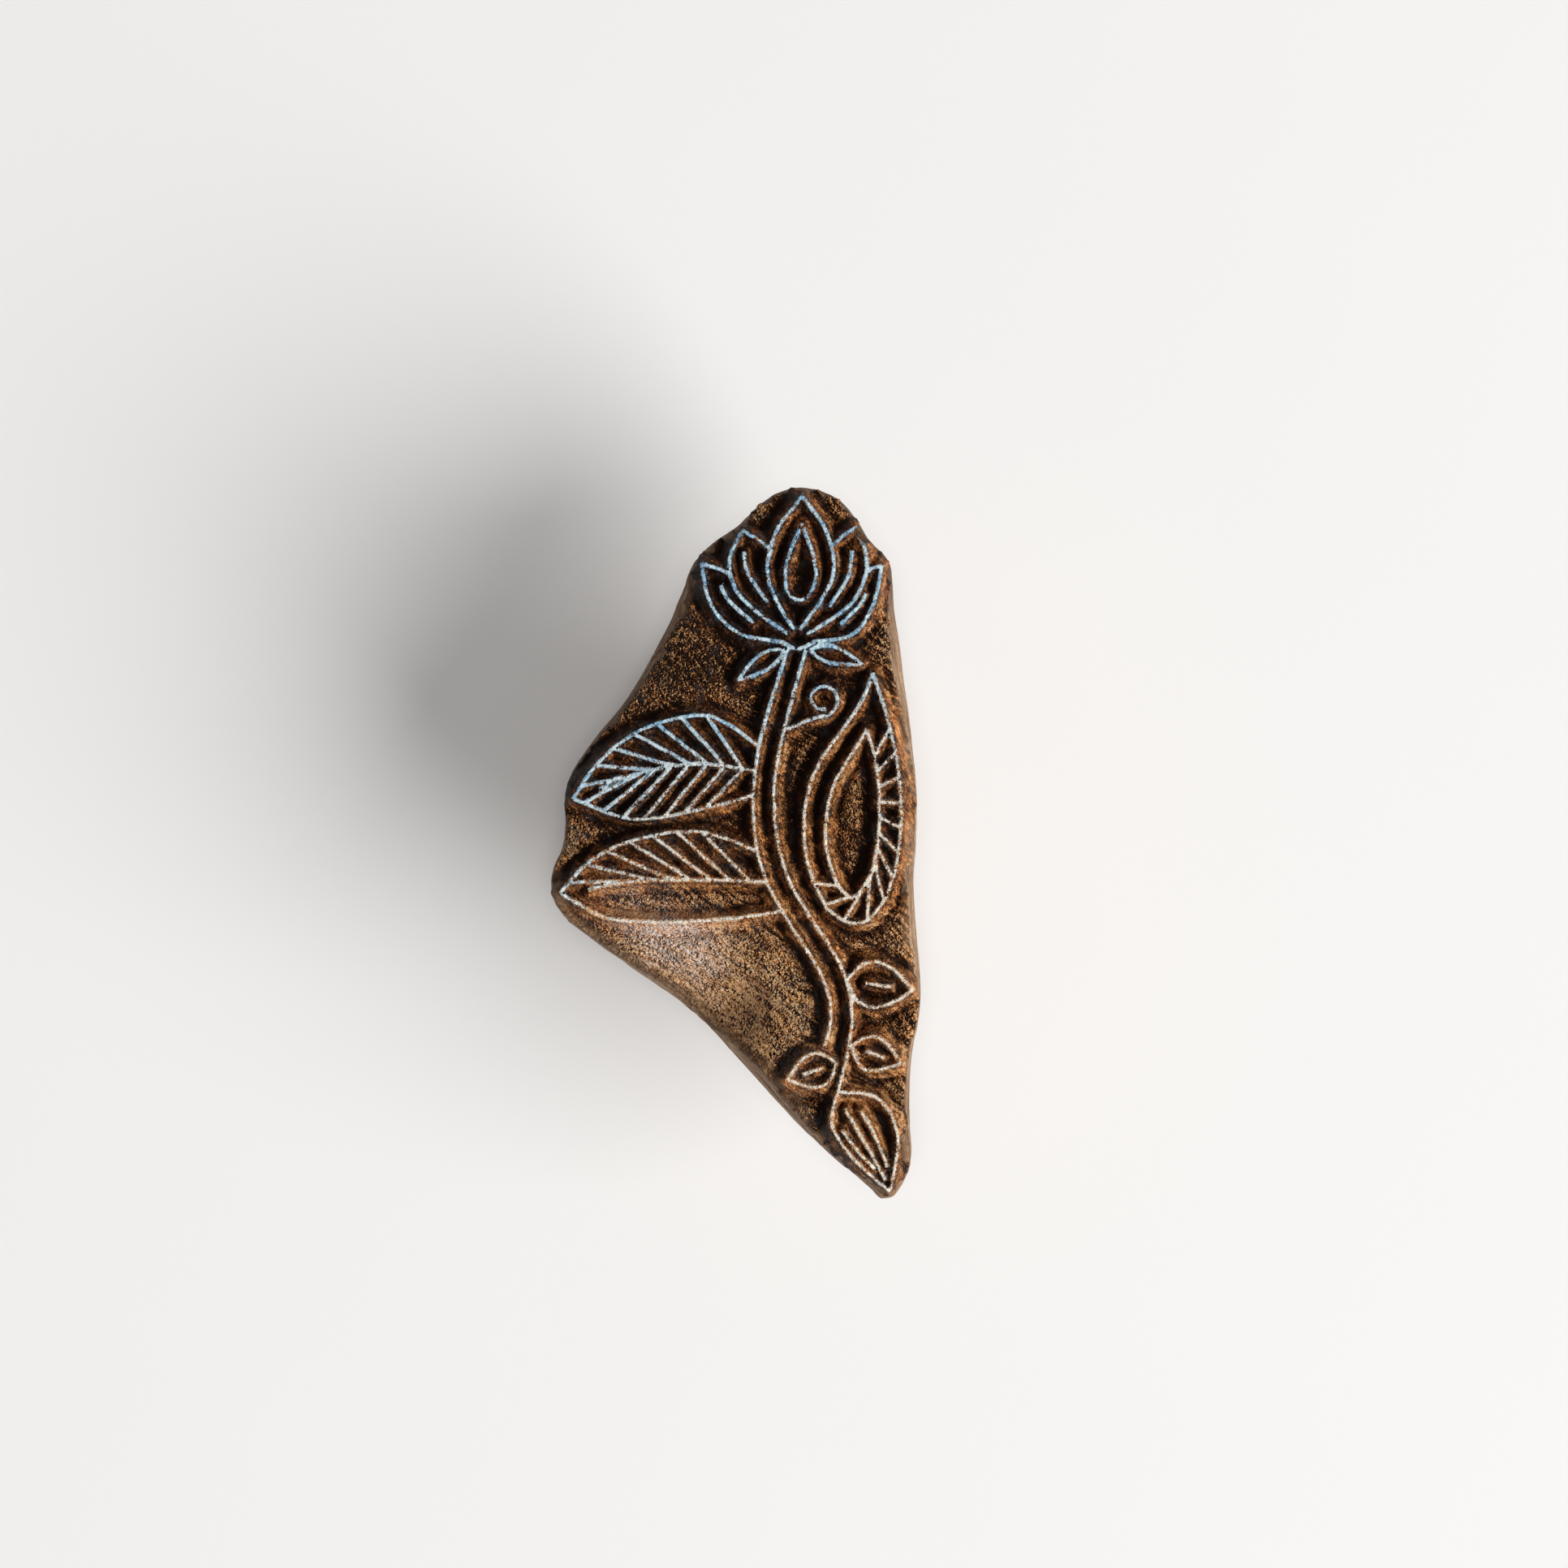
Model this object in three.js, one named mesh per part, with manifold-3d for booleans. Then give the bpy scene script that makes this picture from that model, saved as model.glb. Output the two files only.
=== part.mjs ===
// A hand-cut wooden printing block for cloth and paper. It lies as it is stored, with the carved
// face up and its grip under it. The face is a flower on a stem with hatched leaves, left standing
// as thin ridges when the ground around them is cut away. The grip is a second piece of wood,
// seated on the flat back of the block and held there by two wire nails.
// Millimetres, +Z up. The origin is on the resting plane, under the middle of the block's outline.
import * as THREE from "three";
import { mergeVertices } from "three/addons/utils/BufferGeometryUtils.js";
import Module from "manifold-3d";

const wasm = await Module();
wasm.setup();

// The block
const BLOCK_LENGTH = 90; // along Y, on the printing face
const BLOCK_WIDTH = 46.4; // along X, on the printing face
const BLOCK_THICKNESS = 18; // flat back to the tops of the ridges
const BACK_ARRIS = 1.2; // how far the edge of the back is eased
const OUTLINE_STEP = 1.7; // length of one facet round the outline

// The carving
const RIDGE_TOP = 0.62; // width of a printing ridge on the face
const RIDGE_DRAFT = 15; // degrees that a ridge's flank leans out
const GROUND_DEPTH = 2.7; // ground below the face, inside the pattern
const SHOULDER_FALL = 0.058; // how fast the ground drops outside it, in mm per square mm
const SHOULDER_MAX = 7.5; // most that the ground drops there
const RIDGE_STEP = 3.5; // longest facet along a ridge
const RIDGE_TURN = 13; // most degrees that a ridge turns from facet to facet
const GROUND_CELL = 2.6; // cell of the ground's grid
const RIDGE_ROOT = 1.1; // how far a ridge's root goes on under the ground

// The grip
const GRIP_HEIGHT = 28;
const GRIP_WIDTH = 25;
const GRIP_LENGTH = 41;
const GRIP_CORNER = 8; // radius of its corners in plan
const FINGER_GROOVE = 3.6; // depth of the groove that the fingers hold, on each side
const GRIP_EDGE = 2.4; // rounding of the edge that it stands on
const GRIP_PLACE = [4.4, 2.2]; // its middle, under the block's own weight

// The nails
const NAIL_BITE = 10.4; // how far a nail's point goes into the block
const NAIL_SHANK = 2.4; // diameter
const NAIL_HEAD = 5.2; // diameter
const NAIL_HEAD_THICKNESS = 1;
const NAIL_POINT = 3.2; // length of the point
const NAIL_PITCH = 21; // from nail to nail
const NAIL_SUNK = 0.4; // how far a head lies below the foot
const NAIL_CLEARANCE = 0.3; // all round a nail

const faceZ = GRIP_HEIGHT + BLOCK_THICKNESS;
const backZ = GRIP_HEIGHT;

// The outline and the pattern were drawn on a face of this size, and follow the block's.
const DRAWN = { width: 46.4, length: 90 };
const onFace = ([x, y]) =>
  new THREE.Vector2((x * BLOCK_WIDTH) / DRAWN.width, (y * BLOCK_LENGTH) / DRAWN.length);

// Outline of the printing face, clockwise from the top, each point with how far the side below it
// flares out towards the back.
const OUTLINE = [
  [8.7, 45, 0.5], [12.6, 43.7, 0.4], [15.1, 41.1, 0.4], [16.7, 38.4, 0.5], [19.2, 35.9, 0.4],
  [19.5, 33.6, 0.6], [19, 30.1, 1.3], [19.1, 25.5, 1.9], [19.8, 20.4, 1.8], [21, 15.8, 1.3],
  [22.1, 10.8, 0.7], [22.7, 5.7, 0.5], [22.4, 0.6, 0.7], [21.8, -4.5, 1], [21.7, -9.4, 1.3],
  [22.4, -14.1, 1], [23.2, -18.8, 0.5], [22.6, -23.1, 0.7], [21.4, -27.5, 1.1],
  [21.2, -31.9, 1.1], [21.7, -36.3, 0.6], [22.1, -39.9, 0.4], [21.1, -43, 0.3],
  [18.9, -45, 0.3], [16.7, -42.9, 0.5], [12.8, -39.4, 0.9], [9.3, -35.6, 1.4], [5.7, -30.9, 2],
  [1.9, -26.1, 2.4], [-2.6, -21.5, 2.2], [-7.5, -18.1, 1.7], [-12.8, -14.9, 1.3],
  [-17.4, -12, 0.9], [-21.4, -9.2, 0.5], [-23.2, -6, 0.4], [-22.9, -3.3, 0.5],
  [-21.4, -0.1, 0.8], [-21.2, 3.1, 0.7], [-21.5, 6.2, 0.5], [-20.4, 9.1, 0.6],
  [-17, 13.4, 1], [-13, 17.8, 1.4], [-9.6, 22.9, 1.7], [-7.2, 27.7, 1.6], [-6, 32.4, 0.9],
  [-5.2, 35.6, 0.4], [-2.6, 38.2, 0.4], [0.6, 40.3, 0.4], [2.7, 42.5, 0.4], [5.4, 44.3, 0.4],
];

// Edge of the raised field that holds the pattern: outside it the ground falls to the side.
const FIELD = [
  [8.5, 45], [14.5, 42], [19.4, 36], [18.9, 28], [20.4, 19], [22.3, 8], [21.6, -6],
  [22.2, -13], [23.2, -19], [21.2, -28], [21.8, -38], [19, -44], [14.2, -40], [11.2, -34],
  [5.6, -30.2], [8.6, -24.4], [9.6, -18.4], [5, -12.2], [-4, -10.4], [-14, -10.6], [-22.6, -7],
  [-21, 0], [-21.2, 6.4], [-14, 15.4], [-5.6, 17.6], [0.6, 17.4], [-1.4, 24], [-5.2, 31],
  [-5.4, 36], [0, 40.4],
].map(onFace);

// The pattern. Each line is a list of points, and a smooth curve runs through them.
const lines = [];
const line = (...points) => lines.push(points.map(onFace));

// A point on the smooth curve through a few points, at a share t of its length.
function along(points, t) {
  const curve = new THREE.SplineCurve(points.map(([x, y]) => new THREE.Vector2(x, y)));
  const { x, y } = curve.getPointAt(t);
  return [x, y];
}

const between = (a, b, t) => [a[0] + (b[0] - a[0]) * t, a[1] + (b[1] - a[1]) * t];

// A leaf: two edges that meet at its tip, a rib, and slanted veins from it to the edges named.
function leaf(upper, lower, rib, veins, edges) {
  line(...upper);
  line(...lower);
  line(...rib);
  for (const edge of edges) {
    for (let i = 0; i < veins; i++) {
      const t = 0.08 + (0.78 * i) / veins;
      const root = along(rib, t);
      line(root, between(root, along(edge, t + 0.19), 0.97));
    }
  }
}

// A line that bows to one side on its way: to the left where the bow is above 0.
function bowed(from, to, bow) {
  const [dx, dy] = [to[0] - from[0], to[1] - from[1]];
  const length = Math.hypot(dx, dy);
  return [[0, 0], [0.16, 0.72], [0.42, 1], [0.72, 0.68], [1, 0]].map(([t, share]) => [
    from[0] + dx * t - (dy / length) * bow * share,
    from[1] + dy * t + (dx / length) * bow * share,
  ]);
}

function smallLeaf(base, tip, halfWidth) {
  line(...bowed(base, tip, halfWidth));
  line(...bowed(base, tip, -halfWidth));
  line(between(base, tip, 0.3), between(base, tip, 0.68));
}

// A tendril that leaves the stem and winds into a spiral. Turns below 0 wind anticlockwise.
function tendril([cx, cy], from, to, root, startAngle, turns) {
  const points = [root];
  const steps = Math.round(Math.abs(turns) * 9);
  for (let i = 0; i <= steps; i++) {
    const angle = THREE.MathUtils.degToRad(startAngle - (i / steps) * turns * 360);
    const r = from + ((to - from) * i) / steps;
    points.push([cx + r * Math.cos(angle), cy + r * Math.sin(angle)]);
  }
  line(...points);
}

function flower() {
  // Middle petal
  line([7.3, 27], [4, 33.2], [5, 39.2], [8.4, 43.6]);
  line([8.1, 27], [12.2, 33.2], [11.6, 39], [8.4, 43.6]);
  line([8.3, 40.2], [6.2, 34.6], [6.8, 31], [9.2, 31], [10.2, 34.6], [8.3, 40.2]);
  // Second petals, partly behind it
  line([6.6, 26.4], [0.9, 30.6], [-0.9, 35.2], [0.9, 39.4]);
  line([0.9, 39.4], [3.1, 38.2], [4.5, 36.9]);
  line([9, 26.4], [14.6, 30.2], [16.6, 35.2], [15.2, 39.8]);
  line([15.2, 39.8], [13.2, 38.7], [12, 37.2]);
  line([4, 30.4], [1.4, 34.2], [1.1, 36.6]);
  line([11.8, 29.9], [14.3, 33.8], [14.6, 36.8]);
  // Outer petals
  line([5.9, 25.4], [0.2, 26.5], [-3.2, 30.2], [-4.2, 35.2]);
  line([-4.2, 35.2], [-2.2, 34.8], [-0.9, 34]);
  line([9.8, 25.4], [14.8, 26.3], [17.4, 30.2], [18.3, 34.9]);
  line([18.3, 34.9], [17.2, 34.7], [16.4, 34]);
  line([2.2, 27.9], [-0.8, 30.4], [-1.9, 32.4]);
  line([13.2, 27.7], [15.4, 29.6], [16.3, 31.4]);
  // Sepals
  line([5.9, 25.4], [7.8, 24.4], [9.8, 25.4]);
  line(...bowed([6.1, 24.4], [0.4, 20.6], -1.3));
  line(...bowed([6.1, 24.4], [0.4, 20.6], 1));
  line(...bowed([9.4, 24.4], [15.8, 22.6], 1.3));
  line(...bowed([9.4, 24.4], [15.8, 22.6], -1));
}

function stem() {
  line([6.6, 24.6], [4.6, 18.4], [2.8, 11.6], [2.2, 4], [3.4, -3.6], [7.2, -10.6]);
  line([7.2, -10.6], [10.4, -15.4], [12.1, -20.6], [11.3, -25.2]);
  line([8.8, 24.4], [7, 17.8], [5.3, 11], [4.8, 4.4], [6, -2.8], [9, -8.6], [12.9, -14.4],
    [14.7, -20.6], [14, -26.4], [12.8, -31]);
  tendril([10.9, 18.2], 2.3, 1.3, [6, 14.2], -110, -1.1);
}

function leaves() {
  // Long upper leaf on the left, veined on both sides
  const longUpper = [[2.8, 12.4], [-3.4, 16.2], [-11.4, 14.6], [-17, 10.6], [-20.3, 5.8]];
  const longLower = [[2.2, 6.2], [-5.2, 4.2], [-13.2, 3.2], [-20.3, 5.8]];
  const longRib = [[2.5, 9.2], [-5, 10.2], [-12.4, 8.8], [-17, 7]];
  leaf(longUpper, longLower, longRib, 7, [longUpper, longLower]);
  // Broad lower leaf on the left, veined above its rib only
  const broadUpper = [[2.6, -0.8], [-4.4, 1.7], [-12.6, 0.7], [-18.2, -2], [-21.9, -6]];
  const broadLower = [[5.6, -8.4], [-2, -9.4], [-10, -9.7], [-16.6, -9.1], [-21.9, -6]];
  const broadRib = [[3.6, -4.6], [-5, -4.4], [-13, -4.6], [-18.4, -5.6]];
  leaf(broadUpper, broadLower, broadRib, 7, [broadUpper]);
  // Small leaves beside the lower stem
  smallLeaf([13.9, -17], [22.2, -18.2], 3);
  smallLeaf([14.6, -25.2], [20.6, -27.4], 2.3);
  smallLeaf([12.6, -27.4], [6.6, -29.4], 2.3);
}

// The drop on the right: one drop inside another, with rungs between them on the outer side.
function drop() {
  const outer = [[17.2, 21.4], [19.3, 15], [20.6, 8], [20.6, 0], [18.9, -6.6], [15.4, -10],
    [11.6, -8.2], [9.2, -3.2], [8.5, 3], [9.7, 8.8], [12.8, 13.6], [15.6, 17.4], [17.2, 21.4]];
  const inner = [[16.5, 14.4], [17.8, 9], [18, 1.6], [16.8, -4.2], [14.7, -6.6], [12.7, -5],
    [11.4, -1], [11.3, 3.6], [12.5, 8.2], [14.9, 11.8], [16.5, 14.4]];
  line(...outer.slice(0, 7));
  line(...outer.slice(6));
  line(...inner.slice(0, 6));
  line(...inner.slice(5));
  for (let i = 0; i < 12; i++) {
    line(along(outer, 0.1 + i * 0.045), along(inner, 0.075 + i * 0.042));
  }
}

// The leaf that fills the foot of the block, veined lengthwise
function footLeaf() {
  line([12.8, -31], [11.9, -35], [14.9, -39.6], [19.4, -43.4]);
  line([12.8, -31], [17.8, -31.6], [20.4, -36.4], [19.4, -43.4]);
  line([13.8, -33.2], [16.4, -37.6], [18.8, -42]);
  line([15.8, -33.4], [18, -37.4], [19, -40.4]);
  line([13.4, -35.8], [15.2, -38.4], [17.6, -40.8]);
}

[flower, stem, leaves, drop, footLeaf].forEach((cut) => cut());

// A solid from rings of points that all have the same count, each ring at its own height.
function loft(rings) {
  const count = rings[0].length;
  const positions = rings.flat().flatMap((p) => [p.x, p.y, p.z]);
  const index = [];
  for (let r = 0; r + 1 < rings.length; r++) {
    for (let i = 0; i < count; i++) {
      const j = (i + 1) % count;
      const [a, b] = [r * count + i, r * count + j];
      index.push(a, b, b + count, a, b + count, a + count);
    }
  }
  const cap = (ring, start, up) => {
    const flat = ring.map((p) => new THREE.Vector2(p.x, p.y));
    for (const [a, b, c] of THREE.ShapeUtils.triangulateShape(flat, [])) {
      index.push(start + a, start + (up ? b : c), start + (up ? c : b));
    }
  };
  cap(rings[0], 0, false);
  cap(rings.at(-1), (rings.length - 1) * count, true);
  const geometry = new THREE.BufferGeometry();
  geometry.setAttribute("position", new THREE.Float32BufferAttribute(positions, 3));
  geometry.setIndex(index);
  return geometry;
}

// Geometry to a solid that can be joined and cut, and back again.
function solid(geometry) {
  const bare = geometry.clone();
  bare.deleteAttribute("normal");
  bare.deleteAttribute("uv");
  const merged = mergeVertices(bare, 1e-4);
  return new wasm.Manifold(
    new wasm.Mesh({
      numProp: 3,
      vertProperties: new Float32Array(merged.attributes.position.array),
      triVerts: new Uint32Array(merged.index.array),
    }),
  );
}

function geometryOf(manifold) {
  const mesh = manifold.getMesh();
  const geometry = new THREE.BufferGeometry();
  geometry.setAttribute("position", new THREE.BufferAttribute(mesh.vertProperties, 3));
  geometry.setIndex(new THREE.BufferAttribute(mesh.triVerts, 1));
  return geometry;
}

const joined = (solids) => solids.reduce((all, one) => all.add(one));

// The uncut block: the face's outline at the top, flaring to the outline of the back.
function blank() {
  const edge = new THREE.CatmullRomCurve3(
    OUTLINE.map(([x, y, flare]) => {
      const p = onFace([x, y]);
      return new THREE.Vector3(p.x, p.y, flare);
    }),
    true,
  );
  const count = Math.round(edge.getLength() / OUTLINE_STEP);
  const points = edge.getSpacedPoints(count).slice(0, count).reverse();
  const ring = (z, share, inset) =>
    points.map((p, i) => {
      const before = points[(i + count - 1) % count];
      const after = points[(i + 1) % count];
      const out = new THREE.Vector2(after.y - before.y, before.x - after.x).normalize();
      const offset = p.z * share - inset;
      return new THREE.Vector3(p.x + out.x * offset, p.y + out.y * offset, z);
    });
  return solid(
    loft([
      ring(backZ, 1, BACK_ARRIS),
      ring(backZ + BACK_ARRIS, 1, 0),
      ring(backZ + BLOCK_THICKNESS * 0.45, 0.9, 0),
      ring(faceZ, 0, 0),
    ]),
  );
}

// How far a point lies outside the raised field: 0 inside it.
function outsideField(p) {
  let inside = false;
  let nearest = Infinity;
  FIELD.forEach((a, i) => {
    const b = FIELD[(i + 1) % FIELD.length];
    if (a.y > p.y !== b.y > p.y && p.x < ((b.x - a.x) * (p.y - a.y)) / (b.y - a.y) + a.x) {
      inside = !inside;
    }
    const run = b.clone().sub(a);
    const t = THREE.MathUtils.clamp(p.clone().sub(a).dot(run) / run.lengthSq(), 0, 1);
    nearest = Math.min(nearest, p.distanceTo(a.clone().addScaledVector(run, t)));
  });
  return inside ? 0 : nearest;
}

function groundZ(x, y) {
  const away = outsideField(new THREE.Vector2(x, y));
  return faceZ - GROUND_DEPTH - Math.min(SHOULDER_MAX, SHOULDER_FALL * away * away);
}

// Everything below the carved ground, as a block with a shaped top, larger than the outline.
function ground() {
  const margin = 4;
  const [width, length] = [BLOCK_WIDTH + 2 * margin, BLOCK_LENGTH + 2 * margin];
  const columns = Math.round(width / GROUND_CELL);
  const rows = Math.round(length / GROUND_CELL);
  const slab = new THREE.BoxGeometry(width, length, 1, columns, rows, 1);
  const at = slab.attributes.position;
  for (let i = 0; i < at.count; i++) {
    at.setZ(i, at.getZ(i) > 0 ? groundZ(at.getX(i), at.getY(i)) : backZ - 1);
  }
  return solid(slab);
}

// Where a curve's sections go: closer together where it turns.
function sectionShares(curve) {
  const length = curve.getLength();
  const fine = Math.ceil(length / 0.2);
  const shares = [0];
  let heading = curve.getTangentAt(0);
  for (let i = 1; i < fine; i++) {
    const tangent = curve.getTangentAt(i / fine);
    const turned = THREE.MathUtils.radToDeg(heading.angleTo(tangent));
    if (turned > RIDGE_TURN || (i / fine - shares.at(-1)) * length > RIDGE_STEP) {
      shares.push(i / fine);
      heading = tangent;
    }
  }
  return [...shares, 1];
}

// One ridge: a bar with leaning flanks along a curve, a little taller than the face, which the
// block's top then cuts off level. Its root stays below the ground all the way along.
function ridge(points) {
  const above = 0.4;
  const lean = Math.tan(THREE.MathUtils.degToRad(RIDGE_DRAFT));
  const curve = new THREE.SplineCurve(points);
  const sections = sectionShares(curve).map((share) => {
    const p = curve.getPointAt(share);
    const t = curve.getTangentAt(share);
    const end = share === 0 ? -0.5 : share === 1 ? 0.5 : 0;
    const rootZ = groundZ(p.x, p.y) - RIDGE_ROOT;
    const corner = (side, z) => {
      const half = RIDGE_TOP / 2 + (faceZ - z) * lean;
      return new THREE.Vector3(
        p.x + (t.x * end - t.y * side) * half,
        p.y + (t.y * end + t.x * side) * half,
        z,
      );
    };
    return [corner(1, rootZ), corner(-1, rootZ), corner(-1, faceZ + above), corner(1, faceZ + above)];
  });
  return solid(tube(sections));
}

// A solid from square sections that follow each other along a path.
function tube(sections) {
  const positions = sections.flat().flatMap((p) => [p.x, p.y, p.z]);
  const index = [];
  for (let s = 0; s + 1 < sections.length; s++) {
    for (let i = 0; i < 4; i++) {
      const j = (i + 1) % 4;
      const [a, b] = [s * 4 + i, s * 4 + j];
      index.push(a, b + 4, b, a, a + 4, b + 4);
    }
  }
  const last = (sections.length - 1) * 4;
  index.push(0, 1, 2, 0, 2, 3, last, last + 2, last + 1, last, last + 3, last + 2);
  const geometry = new THREE.BufferGeometry();
  geometry.setAttribute("position", new THREE.Float32BufferAttribute(positions, 3));
  geometry.setIndex(index);
  return geometry;
}

// A shape turned about Z, from (radius, height) points, placed at a nail.
function turned(profile, [x, y]) {
  return new THREE.LatheGeometry(profile.map(([r, z]) => new THREE.Vector2(r, z)), 24)
    .rotateX(Math.PI / 2)
    .translate(x, y, 0);
}

const nailPlaces = [1, -1].map((side) => [GRIP_PLACE[0], GRIP_PLACE[1] + (side * NAIL_PITCH) / 2]);

const nailSeat = NAIL_SUNK + NAIL_HEAD_THICKNESS; // the head's underside bears on the grip here
const nailTip = backZ + NAIL_BITE;

function nail(place) {
  const [head, shank] = [NAIL_HEAD / 2, NAIL_SHANK / 2];
  const profile = [[0, NAIL_SUNK], [head, NAIL_SUNK], [head, nailSeat], [shank, nailSeat],
    [shank, nailTip - NAIL_POINT], [0, nailTip]];
  return turned(profile, place);
}

// The hole that a nail leaves, with a clearance round it, open at the foot.
function nailHole(place) {
  const [head, shank] = [NAIL_HEAD / 2 + NAIL_CLEARANCE, NAIL_SHANK / 2 + NAIL_CLEARANCE];
  const end = nailTip + NAIL_CLEARANCE;
  const profile = [[0, -1], [head, -1], [head, nailSeat], [shank, nailSeat],
    [shank, end - NAIL_POINT / 2], [0, end]];
  return solid(turned(profile, place));
}

const nailHoles = joined(nailPlaces.map(nailHole));

function carvedBlock() {
  const carving = joined([ground(), ...lines.map(ridge)]);
  return blank().intersect(carving).subtract(nailHoles);
}

// The grip: rounded in plan, drawn in at the finger grooves, with a rounded edge at its foot.
function grip() {
  const levels = 12;
  const rings = [];
  for (let i = 0; i <= levels; i++) {
    const share = i / levels;
    const z = share * GRIP_HEIGHT;
    const groove = FINGER_GROOVE * Math.sin(Math.PI * Math.pow(share, 0.85)) ** 2;
    rings.push(gripRing(z, groove, groove * 0.35));
  }
  const edge = [0, 30, 60].map((degrees) => {
    const a = THREE.MathUtils.degToRad(degrees);
    const inset = GRIP_EDGE * (1 - Math.sin(a));
    return gripRing(GRIP_EDGE * (1 - Math.cos(a)), inset, inset);
  });
  return solid(loft([...edge, ...rings.filter((ring) => ring[0].z > GRIP_EDGE)])).subtract(nailHoles);
}

function gripRing(z, insetX, insetY) {
  const [halfWidth, halfLength] = [GRIP_WIDTH / 2 - insetX, GRIP_LENGTH / 2 - insetY];
  const corner = Math.min(GRIP_CORNER, halfWidth * 0.9, halfLength * 0.9);
  const points = [];
  for (const [sx, sy, start] of [[1, 1, 0], [-1, 1, 90], [-1, -1, 180], [1, -1, 270]]) {
    for (let i = 0; i <= 6; i++) {
      const a = THREE.MathUtils.degToRad(start + i * 15);
      points.push(
        new THREE.Vector3(
          GRIP_PLACE[0] + sx * (halfWidth - corner) + corner * Math.cos(a),
          GRIP_PLACE[1] + sy * (halfLength - corner) + corner * Math.sin(a),
          z,
        ),
      );
    }
  }
  return points;
}

function piece(name, geometry, color, roughness, metalness = 0) {
  const mesh = new THREE.Mesh(geometry, new THREE.MeshStandardMaterial({ color, roughness, metalness }));
  mesh.name = name;
  return mesh;
}

const block = new THREE.Group();
block.add(piece("carved_block", geometryOf(carvedBlock()), 0x6b4426, 0.75));
block.add(piece("handle_grip", geometryOf(grip()), 0x8a6440, 0.6));
nailPlaces.forEach((place, i) => {
  block.add(piece(["nail_upper", "nail_lower"][i], nail(place), 0x8c8a86, 0.45, 1));
});

export default block;
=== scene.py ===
"""The looks of a hand-cut wooden printing block: its carved face with worn paint on the ridges,
its grip, its two nails and a plain pale studio. Lengths in the carving code are millimetres,
because a carver thinks in them, and a mesh is turned into metres when it is made."""

import math

import bpy
import numpy as np
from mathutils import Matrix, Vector
from mathutils.bvhtree import BVHTree
from mathutils.geometry import delaunay_2d_cdt
from mathutils.kdtree import KDTree


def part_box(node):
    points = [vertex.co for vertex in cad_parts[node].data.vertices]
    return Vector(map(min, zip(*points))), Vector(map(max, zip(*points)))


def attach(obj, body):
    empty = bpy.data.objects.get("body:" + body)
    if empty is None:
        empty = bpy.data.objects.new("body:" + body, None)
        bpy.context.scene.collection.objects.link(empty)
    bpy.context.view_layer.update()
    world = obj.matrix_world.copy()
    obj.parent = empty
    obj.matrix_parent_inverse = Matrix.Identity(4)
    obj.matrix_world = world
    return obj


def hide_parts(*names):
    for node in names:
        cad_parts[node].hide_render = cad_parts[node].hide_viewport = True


bl_info = {
    "name": "Wooden Printing Block",
    "version": (1, 0, 0),
    "blender": (4, 5, 0),
    "location": "View3D > Sidebar > Printing Block",
    "description": "Carves, paints and lights a hand-cut wooden printing block",
    "category": "Object",
}

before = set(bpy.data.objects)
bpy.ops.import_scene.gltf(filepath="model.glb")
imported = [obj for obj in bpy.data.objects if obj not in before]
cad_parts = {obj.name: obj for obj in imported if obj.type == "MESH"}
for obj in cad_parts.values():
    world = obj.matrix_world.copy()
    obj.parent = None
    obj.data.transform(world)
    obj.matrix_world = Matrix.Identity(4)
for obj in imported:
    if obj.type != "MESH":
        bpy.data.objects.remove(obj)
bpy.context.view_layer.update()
MM = 1000.0
NAILS = ("nail_upper", "nail_lower")
# The grain runs down to the right across the face, at this many degrees from +X.
GRAIN_ANGLE = -38
# Rows down the block's sides, and points round the grip, round a nail's hole and round a nail.
SIDE_ROWS = 13
GRIP_COLUMNS = 144
HOLE_SIDES = 24
NAIL_SIDES = 40
# A surface that bends by more than this is sharp there.
CREASE = math.radians(42)
# A nail's hole and its seat lie within this many millimetres of the nail's axis.
HOLE_REACH = 3.2
# The block's sides are read from the solid up to this far below the edge of the face, in mm.
BELOW_RIM = 0.4
# A point that lies closer to an axis than this, in mm, is on it.
AXIS = 0.05
# Stands for a ridge or a crack that isn't near.
FAR = 9.0
# Shadows of the ridges and light on their flanks are painted into the face's colour as if the
# main lamp stood in this direction, in radians from +X. The painted shadow falls this steeply.
PAINTED_LIGHT_SIDE = -0.385
PAINTED_SHADOW_SLOPE = 0.95

# Large patches on the face: amount, place, half width and half length in mm, and direction.
TONE_PATCHES = (
    (-0.58, -6, 25, 7, 12, 60), (-0.12, 13, 2, 3, 10, -50), (-0.14, 5, 34, 7, 8, 0),
    (-0.04, 17, 26, 5, 12, 100), (-0.20, 8, 21, 10, 6, 0), (-0.18, 21, 3, 4, 11, 95),
    (-0.24, -12, 6, 5, 8, 20), (0.04, 20, -24, 4, 12, 90), (0.92, -4, -17, 8, 13, -42),
    (0.11, 5, -25, 6, 10, -50), (0.02, 18, -30, 4, 8, 90), (-0.25, 8, -28, 3, 6, -70),
    (0.09, -20, 0, 3, 5, 0), (-0.35, 20, -42, 3, 4, 60), (0.15, 15.5, -32, 3, 4, 90),
    (0.08, 18, -37, 4, 7, 90))
# Patches of dry dust on the shoulder that also carry a painted sheen, in the same columns.
DUST_AND_SHEEN_PATCHES = ((1.5, -8, -12.5, 4.5, 7, -30), (0.3, 0, -20, 6, 10, -42))
# Drying cracks in the ground: middle and length in mm, and direction.
CRACKS = ((10.3, -9.5, 4.0, 97), (-10.5, 20.5, 4.5, 84), (16.5, -17.5, 3.0, 80),
          (1.2, -15.0, 4.2, 98), (17.5, 3.0, 3.6, 93), (9.0, 21.0, 3.2, 88))

# What the materials read from the block's points, with the values away from the face. "reach"
# is how far the paint comes towards the edge of a ridge.
ELSEWHERE = {"ridge": FAR, "crack": FAR, "side": 1.0, **dict.fromkeys(
    ("relief", "shade", "painted_light", "hollow_shade", "rim", "tone", "open", "dust_and_sheen", "blue", "reach", "bare"),
    0.0)}

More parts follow.
